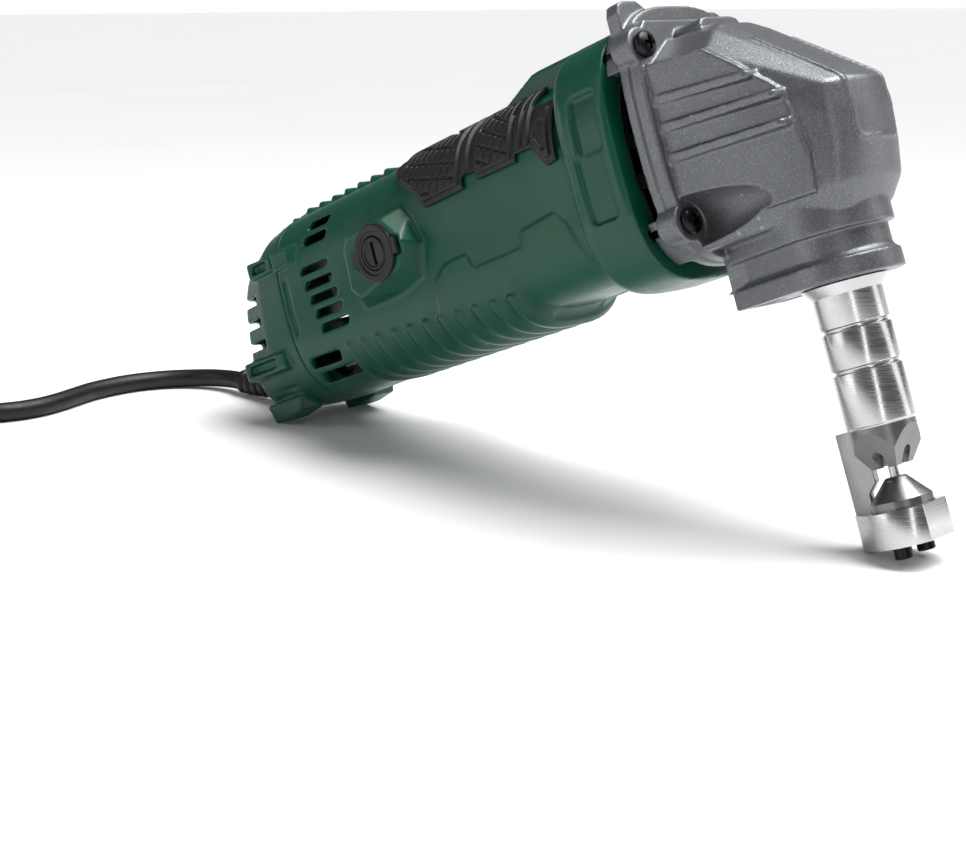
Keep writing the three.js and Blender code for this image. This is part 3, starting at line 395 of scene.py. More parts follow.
def cast(name, color, roughness):
    finish = Finish(name, color, roughness, 0.6).mottle(60, 0.14)
    finish.speckle(2300, tuple(c * 1.9 for c in color), 0.7)
    # painted highlight: the raised edges take 2.6 times the casting's colour
    finish.edge_highlight_and_old_mesh(tuple(c * 2.6 for c in color), 0.5, 0.53, 0.6).gloss(1500, 0.07)
    return finish.grain(2300, 0.5, 0.00016).grain(90, 0.05, 0.0006).material


def machined(name, color, roughness, stretch=(0.02, 0.02, 1.0), strength=0.06):
    """Fine lines round the punch axis, as turning and grinding leave."""
    finish = Finish(name, color, roughness, 1.0).mottle(70, 0.12)
    finish.gloss(5200, 0.07, stretch)
    return finish.grain(6500, strength, 0.00005, stretch).grain(45, 0.03, 0.0003).material


def rubbery(name, color, roughness):
    finish = Finish(name, color, roughness).mottle(90, 0.3).gloss(400, 0.07)
    # painted highlight: a paler colour along the raised edges of the rubber
    finish.edge_highlight_and_old_mesh(tuple(min(1, c * 2.2 + 0.004) for c in color), 0.5)
    return finish.grain(1900, 0.22, 0.0001).material


def windings(name, color):
    finish = Finish(name, color, 0.38, 1.0).mottle(120, 0.35).gloss(500, 0.08)
    return finish.grain(900, 0.7, 0.0004, (1.0, 0.15, 1.0)).material


GREEN = moulded("green_moulding", (0.0006, 0.058, 0.03), 0.36)
SOFT = rubbery("soft_grip", (0.008, 0.008, 0.0085), 0.5)
BLACK = moulded("black_moulding", (0.006, 0.006, 0.0065), 0.42)
PALE = moulded("pale_moulding", (0.62, 0.6, 0.54), 0.5)
ORANGE = moulded("orange_moulding", (0.68, 0.06, 0.012), 0.4)
CAST = cast("grey_casting", (0.125, 0.13, 0.138), 0.36)
BARE = Finish("bare_casting", (0.4, 0.41, 0.42), 0.5, 0.8).mottle(60, 0.2).gloss(300, 0.1).grain(
    1200, 0.4, 0.0002).material
STEEL = machined("turned_steel", (0.5, 0.5, 0.505), 0.24)
GROUND = machined("ground_steel", (0.3, 0.3, 0.305), 0.34, (1.0, 0.03, 0.06))
FACET = machined("milled_steel", (0.2, 0.2, 0.205), 0.36, (0.1, 0.1, 1.0))
DARK = machined("dark_steel", (0.12, 0.12, 0.125), 0.34)
SCREW = machined("black_screw", (0.022, 0.022, 0.024), 0.32, (0.3, 1.0, 1.0))
COPPER = windings("copper", (0.55, 0.22, 0.09))
BRASS = Finish("brass", (0.55, 0.4, 0.16), 0.3, 1.0).mottle(80, 0.25).gloss(500, 0.08).grain(
    2600, 0.1, 0.0001).material
CORE = machined("core_plate", (0.2, 0.2, 0.21), 0.45, (1.0, 0.02, 0.02), 0.3)
CARBON = rubbery("carbon", (0.022, 0.022, 0.024), 0.6)
RUBBER = rubbery("rubber", (0.005, 0.005, 0.0053), 0.45)

SLOT_FINISH = {
    "housing_green": GREEN, "soft_grip": SOFT, "black_plastic": BLACK, "pale_plastic": PALE,
    "switch_orange": ORANGE, "cast_grey": CAST, "cast_bare": BARE, "dark_steel": DARK, "turned_steel": STEEL,
    "black_screw": SCREW, "copper": COPPER, "brass": BRASS, "core_plate": CORE, "carbon": CARBON,
    "rubber": RUBBER}


def finish_cad_nodes():
    """The CAD nodes that stay in view get the finish of their slot in the record."""
    for part in frame["record"]["subparts"]:
        mesh = frame["nodes"][part["node"]].data
        mesh.materials.clear()
        mesh.materials.append(SLOT_FINISH[part["material_slot"]])


# ------------------------------------------------------------------ cord, first of the pieces
ROUTE = [
    (-0.5, 0, 5.5), (-6, 0, 5.4), (-12, -0.4, 5.1), (-19.5, -2.6, 4.7), (-27, -7.2, 4.25), (-33.2, -13.8, 4),
    (-37.4, -21.8, 3.85), (-39.4, -31, 3.85), (-39.2, -41, 3.85), (-37.2, -52, 3.85), (-33.4, -62, 3.85),
    (-29.6, -71.8, 3.85), (-27.2, -82, 3.85), (-28, -92.4, 3.85), (-32, -102, 3.95), (-38.4, -110, 4.25),
    (-45.8, -116.8, 4.6)]
BEND = GUARD["length"] / TILT
GUARD_END = TOOL @ Vector((CORD_EXIT[0] - BEND * math.sin(TILT), 0,
                           CORD_EXIT[1] + BEND * (1 - math.cos(TILT))))
COLUMN = 41
RING = {"inner": COLUMN - 2 * CORD_RADIUS, "outer": COLUMN + 2 * CORD_RADIUS, "bottom": 1.2}
RING["top"] = RING["bottom"] + 8 * CORD_RADIUS
PLUG = {"thick": 13.8, "half": 13, "length": 34}


def smoothstep(value, start, end):
    t = max(0.0, min(1.0, (value - start) / (end - start)))
    return t * t * (3 - 2 * t)


def smooth_route(points, per_span=8):
    """A Catmull-Rom line through the points."""
    points = [Vector(p) for p in points]
    ends = [2 * points[0] - points[1], *points, 2 * points[-1] - points[-2]]
    line = []
    for a, b, c, d in zip(ends, ends[1:], ends[2:], ends[3:]):
        for i in range(per_span):
            t = i / per_span
            line.append(0.5 * (2 * b + (c - a) * t + (2 * a - 5 * b + 4 * c - d) * t ** 2
                               + (3 * b - a - 3 * c + d) * t ** 3))
    return [*line, points[-1]]


def coil_frame():
    """Where the coil lies: its own +Y is the way the cord arrives, on a tangent of the outer column."""
    end, before = Vector(ROUTE[-1]), Vector(ROUTE[-2])
    arrival = Vector((end.x - before.x, end.y - before.y)).normalized()
    column = COLUMN + CORD_RADIUS
    run_in = math.sqrt((RING["outer"] + CORD_RADIUS + 2 * GAP) ** 2 - column ** 2)
    centre = Vector((end.x + arrival.x * run_in - arrival.y * column,
                     end.y + arrival.y * run_in + arrival.x * column, 0))
    turn = math.atan2(arrival.y, arrival.x) - math.pi / 2
    return Matrix.Translation(centre) @ Matrix.Rotation(turn, 4, "Z")


COIL = coil_frame()
BENCH = Matrix.Translation((GUARD_END.x, 0, 0)) @ Matrix.Scale(MM, 4)


def coil_line():
    """Eight stacked places of 315 degrees each, so that each turn has left a place before the next takes it;
    the last stretch climbs on top and goes on a quarter turn."""
    inner, outer = COLUMN - CORD_RADIUS, COLUMN + CORD_RADIUS
    base, pitch = RING["bottom"] + CORD_RADIUS, 2 * CORD_RADIUS
    places = [(outer, 0), (inner, 0), (inner, 1), (outer, 1), (outer, 2), (inner, 2), (inner, 3), (outer, 3)]
    share, blend = 315, 45
    line = []
    for step in range(1, 7 * 48 + 13):
        angle = step * 7.5
        place = min(int(angle // share), 7)
        radius, level = places[place]
        height = base + level * pitch
        if place < 7:
            move = smoothstep(angle, share * (place + 1) - blend, share * (place + 1))
            radius += (places[place + 1][0] - radius) * move
            height += (places[place + 1][1] - level) * pitch * move
        top = RING["top"] + GAP + CORD_RADIUS
        height += (top - height) * smoothstep(angle, 2440, 2480)
        radius += (inner - radius) * smoothstep(angle, 2480, 2520)
        line.append(Vector((radius * math.cos(math.radians(angle)), radius * math.sin(math.radians(angle)),
                            height)))
    return line


def end_line():
    """From the top of the coil inwards over it, up to the plug; given in the coil's frame."""
    radius, sweep, straight = 30, math.pi / 3, 4
    start = COLUMN - CORD_RADIUS
    low_z, plug_z = RING["top"] + GAP + CORD_RADIUS, RING["top"] + GAP + PLUG["thick"] / 2
    line = []
    for i in range(1, 17):
        angle = i / 16 * sweep
        line.append(Vector((start + radius * (math.cos(angle) - 1), radius * math.sin(angle),
                            low_z + (plug_z - low_z) * smoothstep(i, 0, 16))))
    last = line[-1]
    line.append(last + Vector((-straight * math.sin(sweep), straight * math.cos(sweep), 0)))
    quarter = Matrix.Rotation(math.pi / 2, 4, "Z")
    plug = quarter @ Matrix.Translation(line[-1]) @ Matrix.Rotation(math.pi / 2 + sweep, 4, "Z")
    return [quarter @ p for p in line], plug


def make_cord():
    line = smooth_route(ROUTE)
    end, plug_place = end_line()
    line += [COIL @ p for p in [Vector((COLUMN + CORD_RADIUS, 0, RING["bottom"] + CORD_RADIUS)), *coil_line(),
                                *end]]
    line = [BENCH @ p for p in line]
    curve = bpy.data.curves.new("flex", "CURVE")
    curve.dimensions = "3D"
    spline = curve.splines.new("POLY")
    spline.points.add(len(line) - 1)
    for point, place in zip(spline.points, line):
        point.co = (*place, 1)
    curve.bevel_depth = CORD_RADIUS * MM
    curve.bevel_resolution = 5
    curve.use_fill_caps = True
    curve.materials.append(RUBBER)
    flex = bpy.data.objects.new("flex", curve)
    bpy.context.scene.collection.objects.link(flex)
    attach(flex, "housing")
    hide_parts("cord_tube", "cord_coil", "cord_end")
    length = sum((b - a).length for a, b in zip(line, line[1:]))
    return flex, line[0], length, plug_place


flex, cord_start, cord_length, plug_place = make_cord()

# ------------------------------------------------------------------ motor housing and tail
BARREL = [(SEAM, 30.4, 28.9, -43.2, 0), (-150, 29.6, 29.6, -41.8, 0), (-107, 29.2, 30.2, -40.4, 0),
          (-104, 29.2, 30.2, -38, 0), (-50, 28.9, 31.4, -36.6, 0)]
BAND_STATIONS = [(BAND["rear"] - 1, 30, 34.4, -39.6, 0), (BAND["rear"] + 1.5, 32.4, 37.2, -42.6, 0),
                 (BAND["rear"] + 4, BAND["half"], BAND["top"], BAND["bottom"], 0),
                 (BAND["front"], BAND["half"], BAND["top"], BAND["bottom"], 0)]
TAIL_STATIONS = [
    (TAIL["rear"] - 0.6, 20, 13, -34, TAIL["slant"]), (TAIL["rear"] + 0.4, 24, 17, -38.4, TAIL["slant"]),
    (TAIL["rear"] + 5, 28, 21.4, -42, TAIL["slant"]), (-238, 30.2, 26.8, -43.4, TAIL["slant"] / 2),
    (SEAM - GAP, 30.4, 28.9, -43.2, 0)]
SCREW_PLACES = [(y, z) for z in (FLANGE_SCREW["z"], -FLANGE_SCREW["z"])
                for y in (-FLANGE_SCREW["y"], FLANGE_SCREW["y"])]
TAIL_SCREWS = [(-16, 12), (16, 12)]
SKIN_GRAIN = 0.62
SPINE_HALF = 10.4


def reach(stations, first, last):
    """The same skin with its first and last stations pulled along X."""
    moved = [list(s) for s in stations]
    moved[0][0] += first
    moved[-1][0] += last
    return moved


def raised(outline, height, stations=None, low=0.0):
    """A low pad on the side wall (y > 0) within a side outline, standing height over the barrel's skin."""
    pad = shared(prism("y", outline, 12, 60), loft(stations or BARREL, height))
    return carved(pad, loft(stations or BARREL, low - 1.2))


def sunk(outline, depth, base=0.0, stations=None):
    """What cuts a shallow recess within a side outline, depth below the skin grown by base."""
    return carved(prism("y", outline, 12, 60), loft(stations or BARREL, base - depth))


def rounded(x0, x1, z0, z1, radius, steps=5):
    """A rectangle with rounded corners as an outline."""
    outline = []
    for cx, cz, start in ((x1 - radius, z1 - radius, 0), (x0 + radius, z1 - radius, 90),
                          (x0 + radius, z0 + radius, 180), (x1 - radius, z0 + radius, 270)):
        for i in range(steps + 1):
            angle = math.radians(start + 90 * i / steps)
            outline.append((cx + radius * math.cos(angle), cz + radius * math.sin(angle)))
    return outline


BOSS_FACE = [
    (-169.6, 8.1), (-150.8, 9), (-142.8, -0.3), (-146.2, -8.7), (-169.6, -14.3), (-174, -10), (-172.8, 4.1)]
BOSS_BASE = [(-184, 10), (-146, 14.5), (-138.5, -5), (-144, -18), (-185, -19.6)]
LOWER_PANEL = [
    (-144, -28), (-139, -17), (-133, -13), (-121.6, -12.3), (-120.3, -17.8), (-96.2, -17),
    (-94.4, -12.1), (-78.7, -10.5), (-74.7, -14.6), (-72.2, -27.4), (-64, -36), (-64, -60), (-144, -60)]


def brush_boss():
    outer = [(x, CAP["face"], z) for x, z in BOSS_FACE]
    return hull(outer + [(x, 22, z) for x, z in BOSS_BASE])


def leaning_slot(x0, x1, z0, z1, y0, y1, lean=1.6):
    """A vent whose ends lean with the tail."""
    return prism("y", [(x0, z0), (x1, z0), (x1 + lean, z1), (x0 + lean, z1)], y0, y1)


def spine_rib(x, foot, top, rise=0.0):
    """A low rib across the spine; rise lifts its front edge where the spine climbs."""
    outline = [(x, foot), (x, top), (x + 0.8, top + 1), (x + 2.2, top + 1 + rise / 2), (x + 3, top + rise),
               (x + 3, foot)]
    return prism("y", outline, -SPINE_HALF - 0.6, SPINE_HALF + 0.6)


def belly_ribs():
    """The ribs round the underside; each one starts a little lower than the one behind it."""
    ribs = []
    for i in range(11):
        x = -198 + i * 8.6
        rib = [(x, 29.9, 29.8, -42.6, 0), (x + 1.4, 30.9, 30.8, -43.9, 0), (x + 3.6, 31, 30.9, -44, 0),
               (x + 5.4, 29.8, 29.8, -42.4, 0)]
        ribs.append(shared(loft(rib, -0.2), box(-260, 0, -40, 40, -60, -26.5 - 0.35 * i)))
    return ribs


def housing_relief():
    """What stands on the barrel: band, spine, switch rails, brush bosses, panels, ribs, lugs and frames."""
    front = BAND["front"] - 1
    rail = [(-102, 30), (-102, 31), (-87, 37.2), (-84, 37.7), (front, 37.7), (front, 30)]
    spine = [(SEAM, 25), (SEAM, 29.4), (-168, 30.3), (-158, 28), (-158, 25)]
    lug = [(SEAM, 20, 7.4), (SEAM, 20, 16.6), (SEAM, 31.6, 8.4), (SEAM, 31.6, 15.6), (-214.6, 31.2, 9.2),
           (-214.6, 31.2, 15), (-211, 28.4, 8), (-211, 28.4, 16)]
    adds = [loft(BAND_STATIONS, 0, 3.4), prism("y", spine, -SPINE_HALF, SPINE_HALF)]
    adds += both([prism("y", rail, 9, 14.5), brush_boss(), raised(LOWER_PANEL, 0.75)])
    adds += [spine_rib(SEAM + 3 + i * 8.1, 26, 29.7 + i * 0.13) for i in range(7)]
    adds += belly_ribs()
    adds += both([hull(lug)])
    adds += both([raised(rounded(-62.6, -45.2, -22.6, 22.4, 4), 0.9, BAND_STATIONS, 0)])
    return adds


def housing_openings():
    """What is cut from the barrel: its inside, vents, sunk panels, and seats for caps, switch and screws."""
    cuts = [loft(reach(BARREL, -1, 12), -WALL)]
    for i in range(5):
        z = 6 - i * 5.6
        cuts += both([leaning_slot(-211 + i, -194.5 + i, z - 2.9, z, 24, 40)])
    cuts += both([
        leaning_slot(-208, -194, 13.2, 16.6, 20, 40), leaning_slot(-206, -193, 18.6, 21.6, 18, 40),
        leaning_slot(-221, -203, -30.8, -27, 20, 40), leaning_slot(-220, -199, -37, -33, 14, 40),
        sunk(rounded(-58.6, -47.6, 1.4, 20, 2), 0.9, 0.0, BAND_STATIONS),
        sunk(rounded(-60.2, -49, -19.8, 2.6, 2), 0.5, 0.0, BAND_STATIONS),
        sunk(rounded(-222.2, -219.4, -17, 5, 1.3), 1.1),
        sunk([(-71.6, 8), (-68.6, 9), (-67, 12), (-68.6, 15), (-71.6, 16)], 0.9)])
    x, z = CAP["x"], CAP["z"]
    cuts.append(rod("y", CAP["radius"] + GAP, -50, 50, (x, z)))
    cuts += both([box(x - 12.2, x + 12.2, CAP["face"] - 1.4, 50, z - 3.4, z + 3.4)])
    cuts.append(box(-99, -56.4, -5.4, 5.4, 24, 42))
    cuts += [rod("x", 2.2, -58, -40, place) for place in SCREW_PLACES]
    return cuts


def bearing_seat():
    """The rear bearing's cup, on a bar across the housing."""
    seat = joined(rod("x", 13, -188.4, -180), box(-188.4, -180, -28.6, 28.6, -5, 5))
    return carved(seat, rod("x", 9.8, -186.3, -170), rod("x", 5, -200, -170))


def motor_housing():
    shell = joined(loft(BARREL), *housing_relief())
    shell = carved(shell, *housing_openings())
    seat = bearing_seat()
    shelves = [box(SEAM, -198, -28.9, 28.9, z0, z1) for z0, z1 in ((7, 8.6), (-10.2, -8.5), (-21, -19.6))]
    bosses = [rod("x", 4.8, SEAM, -210, place) for place in TAIL_SCREWS]
    pilots = [rod("x", 2, -260, -212, place) for place in TAIL_SCREWS]
    shell = carved(joined(shell, seat, *shelves, *bosses), *pilots)
    shell = softened(shell, SKIN_GRAIN, 5)
    piece(shell, "housing_moulding", "housing", GREEN, "housing_green", "motor_housing")


def tail_lug(x0, x1, z0, z1, out):
    """A rounded bumper bar on the side of the tail (y > 0), pointed towards the rear."""
    root, middle = 18, (z0 + z1) / 2
    return hull([
        (x0, root, z0 - 1), (x0, root, z1 + 1), (x0 + 1.4, out, z0 + 1), (x0 + 1.4, out, z1 - 1),
        (x0 - 1, out - 2.4, middle), (x1, out, z0 + 1.4), (x1, out, z1 - 1.4),
        (x1 + 0.4, root, z0), (x1 + 0.4, root, z1)])


def tail_cover():
    foot = [(-236, -38), (-238, -43.8), (BUMPER[0] + 8, BUMPER[1]), (BUMPER[0], BUMPER[1]), (-259, -38)]
    spine = [(-249, 20), (-248.2, 24.4), (SEAM - GAP, 29.4), (SEAM - GAP, 20)]
    adds = [prism("y", spine, -SPINE_HALF, SPINE_HALF)]
    adds += [spine_rib(-246.4 + i * 7.6, 20, 25 + i * 1.6, 0.4) for i in range(3)]
    adds += both([tail_lug(-240.6, SEAM - GAP, 8, 16.2, 31.6), tail_lug(-258, -231, -28.6, -19.6, 31.4),
                  prism("y", foot, 13, 24)])
    shell = joined(loft(TAIL_STATIONS), *adds)
    cuts = [loft(reach(TAIL_STATIONS[1:], WALL, 1), -WALL)]
    for z in (3.4, -5, -13.4):
        cuts += both([leaning_slot(-262, -242, z - 3.3, z, 19, 40, 0.8)])
    cuts += both([
        leaning_slot(-237.4, -228, 10.6, 13.8, 29.2, 40, 1),
        leaning_slot(-254.6, -237, -25.8, -22.2, 29, 40, 1),
        leaning_slot(-252, -236, -37.4, -33.6, 24, 40, 1.4)])
    way = (0, CORD_EXIT[1])
    cuts.append(rod("x", GUARD["start"] + GAP, -280, -250, way))
    shell = carved(shell, *cuts)
    bosses = [rod("x", 4.8, -252.6, SEAM - GAP, place) for place in TAIL_SCREWS]
    saddles = [carved(box(x, x + 3, -10, 10, -42, way[1] + 1), rod("x", CORD_RADIUS + GAP, -260, -220, way))
               for x in (-247, -238)]
    shell = joined(shell, *bosses, *saddles)
    cuts = [rod("x", 2, -260, -200, place) for place in TAIL_SCREWS]
    cuts += [rod("x", 3.6, -270, -249, place) for place in TAIL_SCREWS]
    cuts.append(shared(rod("x", 9, -259, -245, way), box(-262, -256.4, -20, 20, -50, 0)))
    shell = carved(shell, *cuts)
    shell = softened(shell, SKIN_GRAIN, 5)
    piece(shell, "tail_moulding", "housing", GREEN, "housing_green", "tail_cover")


# ------------------------------------------------------------------ soft grip and switch
GRIP_OUTLINE = [
    (-70.5, 24.6), (-71, 5), (-75.6, 4.4), (-81, 12), (-88.6, 12.2), (-88.6, 9.6), (-108.4, 9.6),
    (-108.4, 12.8), (-115, 12.8), (-115, 8.6), (-135.4, 8), (-141.8, 15.6), (-150, 21), (-154, 26),
    (-154, 45), (-106, 45), (-103, 33.2), (-100, 24.6)]
REAR_PAD = [(-116.4, 10.4), (-134.6, 10), (-140, 16.2), (-147, 21), (-147, 40), (-116.4, 40)]
FRONT_PAD = [(-90, 11.2), (-107, 11.2), (-107, 40), (-99, 40), (-90, 30)]
PAD_HEIGHT = 2.4
HOOK = [(-72.2, 22.6), (-72.6, 7), (-74.6, 6.6), (-79.6, 14), (-79.6, 17), (-76, 22.6)]


def hatching(outline, depth_from):
    """Crossing grooves for a pad (y > 0), cut down to the skin grown by depth_from."""
    grooves = []
    start, stop = min(x for x, _ in outline), max(x for x, _ in outline)
    for x in range(math.floor(start) - 20, math.ceil(stop), 4):
        grooves.append(prism("y", [(x, 6), (x + 1, 6), (x + 17, 42), (x + 16, 42)], 10, 60))
    for z in range(10, 44, 5):
        grooves.append(prism("y", [(start, z), (stop, z - 7), (stop, z - 6.1), (start, z + 0.9)], 10, 60))
    field = shared(joined(*grooves), prism("y", outline, 8, 60))
    return carved(field, loft(BARREL, depth_from))


def shrunk(outline, by, centre):
    return [(x + (centre[0] - x) * by, z + (centre[1] - z) * by) for x, z in outline]


def grip_overlay():
    skin = carved(shared(loft(BARREL, 1.3), prism("y", GRIP_OUTLINE, -60, 60)), loft(BARREL, GAP))
    bars = [[(x, 13.2), (x + 2.2, 13.2), (x + 2.2, 40), (x, 40)] for x in (-87, -83.2, -113.4)]
    pads = both([raised(outline, PAD_HEIGHT, low=1.9) for outline in (REAR_PAD, FRONT_PAD, *bars, HOOK)])
    skin = joined(skin, *pads)
    fields = both([hatching(shrunk(REAR_PAD, 0.09, (-130, 26)), 1.6),
                   hatching(shrunk(FRONT_PAD, 0.1, (-98, 26)), 1.6)])
    slit = both([sunk(shrunk(HOOK, 0.36, (-75.6, 14)), 0.8, PAD_HEIGHT)])
    skin = carved(skin, *fields, *slit)
    piece(softened(skin, 0.34, 1), "grip_moulding", "housing", SOFT, "soft_grip", "grip_overlay")


def switch_button():
    wedge = [(-93, 34.3), (-93, 35.4), (-76, 36), (-70, 38.4), (-65, 38.4), (-63.4, 37.6), (-63, 34.3)]
    ribs = [box(x, x + 1.1, -3.9, 3.9, 35, 36.9) for x in (-88, -85.6, -83.2, -80.8, -78.4)]
    body = joined(prism("y", wedge, -4.6, 4.6), box(-90, -70, -3.4, 3.4, 27.6, 34.6), *ribs)
    piece(softened(body, 0.3, 2), "switch_slider", "switch", ORANGE, "switch_orange", "switch_button")


# ------------------------------------------------------------------ gear housing
HEAD_LEVELS = [
    {"z": -37, "nose": 17.6, "cheek": (14, 13), "flank": (2, 19), "rear": 24},
    {"z": -30, "nose": 22.4, "cheek": (15.6, 17), "flank": (8, 20), "rear": 27},
    {"z": -20, "nose": 25, "cheek": (16.6, 17), "flank": (10.4, 20.2), "rear": 27.2},
    {"z": -10, "nose": 26, "cheek": (17.4, 17), "flank": (12, 20.4), "rear": 27.4},
    {"z": -2, "nose": 25.6, "cheek": (17.4, 16.4), "flank": (11, 21), "rear": 27.4}]
HEAD_CROWN = [
    (22.6, 9, -0.2), (17.6, 14.4, -0.1), (9.4, 19.4, 0.8), (-0.9, 20.8, 10.6), (-11, 22.4, 18.6),
    (-30, 25.2, 20), (-12, 14, 25.4), (-14, 7, 28.2), (-30, 13.6, 28.4)]
SIDE_PAD = [(-31, 27.3, 20.9), (-10.7, 24.2, 19.4), (-0.9, 22.6, 10.9), (9.4, 20.9, 0.8), (11.2, 20.5, -4.9),
            (13.4, 20, -20), (12, 19.6, -31), (-31, 27.1, -31)]


def head_shell():
    half = list(HEAD_CROWN)
    for level in HEAD_LEVELS:
        (x, y), z = level["cheek"], level["z"]
        half += [(-30, level["rear"] - 1.6, z), (level["flank"][0], level["flank"][1] - 1.4, z)]
        for i in range(17):
            angle = i / 16 * math.pi / 2
            half.append((x + (level["nose"] - x) * math.cos(angle), y * math.sin(angle), z))
    shell = hull(half + [(x, -y, z) for x, y, z in half])
    return softened(shell, 0.8, 5)


def side_pad():
    """The flat raised cheek (y > 0) that carries the cooling ribs."""
    return hull(SIDE_PAD + [(x, y - 7, z) for x, y, z in SIDE_PAD])


def flange_plate(x0, x1, shrink=0.0):
    size = (FLANGE["half"] - shrink, FLANGE["high"] - shrink, -FLANGE["high"] + shrink, 0)
    return loft([(x0, *size), (x1, *size)], 0, 3.1)


def neck_plan(radius, rear_half):
    arc = [polar(radius, degrees) for degrees in range(-104, 105, 4)]
    return arc + [(NECK["rear"], rear_half), (NECK["rear"], -rear_half)]


def neck():
    top, bottom, rear_half, waist = NECK["top"], NECK["bottom"], NECK["rear_half"], NECK["waist"]
    spar = [(NECK["rear"], top), (NECK["rear"], bottom + 1), (-18, bottom), (-18, top)]
    parts = [prism("z", neck_plan(NECK["radius"], rear_half), top - 5.4, top + 4),
             prism("z", neck_plan(waist, rear_half - 1.6), -52, top - 4),
             prism("z", neck_plan(NECK["radius"] - 0.3, rear_half), bottom, -50.6)]
    lip = rings_solid([[(x * s, y * s, z) for x, y in neck_plan(waist, rear_half - 1.6)]
                       for z, s in ((-49, 1.0), (-50.8, 1.09))])
    frame_bar = both([box(-31.8, -25.4, rear_half - 2.4, rear_half + 0.01, -52, -42)])
    return joined(prism("y", spar, -rear_half + 1.2, rear_half - 1.2), *parts, lip, *frame_bar)


RIBS = [(11.4, 8.2, 3.4), (2.8, 0.2, 10.6), (-6.6, -8.4, 11)]


def head_rib(rear, front, end):
    """A cooling rib (y > 0) that rises out of the sloping cheek and ends in a round nose."""
    corners = [(FLANGE["front"] - 1, 27.6, rear), (FLANGE["front"] - 1, 18, rear)]
    points = [(x, y, z - d) for x, y, z in corners for d in (0, 2.8)]
    for i in range(5):
        lean = math.radians(90 * i / 4)
        x, y = end - 1.6 + 1.8 * math.sin(lean), 25.4 - 1.6 * (1 - math.cos(lean))
        points += [(x, y, front - 0.4), (x, y, front - 2.6), (x, 16, front), (x, 16, front - 3)]
    return hull(points)


FIN_OUTLINE = [
    (-24, 30), (-24, 40), (-22.8, 42.8), (-20.6, 43.7), (-14, 43.7), (-11.6, 42), (-9, 38.8), (14, 39),
    (18, 39.9), (23, 39.9), (25.2, 38.8), (26.6, 36), (26.6, 30)]


def bead_line(points, radius):
    """A raised line of small beads joined up along points on the casting's skin."""
    return [hull([(p[0] + radius * a, p[1] + radius * b, p[2] + radius * c)
                  for p in (start, end) for a in SIDES for b in SIDES for c in SIDES])
            for start, end in zip(points, points[1:])]


def crown_line(shell):
    """Half of the U-shaped raised line over the crown and down the front, laid on the casting's skin."""
    half, corner, foot, away = 9.6, 3.2, -16.4, 60
    down, back = (0, 0, -1), (-1, 0, 0)
    starts = [((x, half, away), down) for x in (-2, *range(2, 23, 2))]
    starts += [((away, half, 1.4 - i * 1.62), back) for i in range(12)]
    for i in range(1, 7):
        y, z = polar(corner, 15 * i)
        starts.append(((away, half - corner + y, foot - z), back))
    starts.append(((away, 0, foot - corner), back))
    line = []
    for start, way in starts:
        hit, place, _, _ = shell.ray_cast(start, way)
        if hit and (way is back or place.z > 2):
            line.append(tuple(place))
    return line


def scoop():
    """The long hollow ahead of a lower screw (y > 0): half an ellipsoid with its wide end at the flange."""
    long, wide, tall = 36, 10, 8.4
    hollow = turned("x", [(0, 0)] + [polar(1, degrees) for degrees in range(0, 90, 5)] + [(0, 1)])
    centre = (FLANGE["front"], FLANGE_SCREW["y"] + 2.6, -FLANGE_SCREW["z"] - 1)
    hollow.data.transform(Matrix.Translation(centre) @ Matrix.Diagonal((long, wide, tall, 1)))
    return hollow


def gear_housing():
    ears = [rod("x", 6, FLANGE["rear"], FLANGE["front"], place) for place in SCREW_PLACES]
    feet = []
    for y, z in SCREW_PLACES:
        corner = box(-60, -20, *((18, 34) if y > 0 else (-34, -18)), *((22, 38) if z > 0 else (-38, -24)))
        feet.append(shared(flange_plate(FLANGE["foot"], FLANGE["rear"] + 1), corner))
    shell = head_shell()
    beads = both(bead_line(crown_line(shell), 0.5))
    side_line = both(bead_line([(15.6, 14.2, 1.2), (18.4, 13.4, -5), (18.6, 13.2, -14.5)], 0.3))
    ribs = both([head_rib(*rib) for rib in RIBS])
    arch = [(-10, 24), (-10, 29.6), (-8.6, 31.4), (-6, 32), (6, 32), (8.6, 31.4), (10, 29.6), (10, 24)]
    body = joined(
        shell, *both([side_pad()]), *beads, *side_line, flange_plate(FLANGE["rear"], -34.6),
        shared(flange_plate(-35, FLANGE["front"], 0.6), box(-40, -20, -40, 40, -50, 35.2)), neck(),
        prism("x", FIN_OUTLINE, -42, FLANGE["rear"] + 1), prism("x", arch, -31, -19), *ears, *feet, *ribs)
    scoops = both([scoop()])
    holes = [rod("x", 2.2, -60, -20, place) for place in SCREW_PLACES]
    room = [
        rod("x", 27, FLANGE["foot"] - 1, -33.5, (0, -9)), rod("x", 16.4, -34.8, -19.5, (0, -18.5)),
        rod("x", 6.5, -34.8, -19.5), box(-34.8, -14, -9, 9, 5, 16),
        rod("x", 11.3, -20, -11.1, (0, -18.5)), rod("x", 9.2, -20, -5, (0, -18.5)),
        box(-8.6, 14, -12, 12, -32, 2), box(-7, 8, -13.8, 13.8, -39.2, 2),
        rod("z", 8.9, NECK["bottom"] - 1, -38),
        rod("z", SPIGOT["radius"] + GAP, NECK["bottom"] - 1, SPIGOT["top"] + GAP),
        rod("x", 2.8, -40, -10, (0, -50.5))]
    pockets = both([box(-29.4, -17.4, 4.4, 9, NECK["bottom"] - 2, -42),
                    box(-29.4, -24, 0.8, 3.2, NECK["bottom"] - 2, -53.6)])
    body = carved(body, *scoops, *holes, *room, *pockets)
    piece(softened(body, 0.46, 4), "gear_casting", "housing", CAST, "cast_grey", "gear_housing")


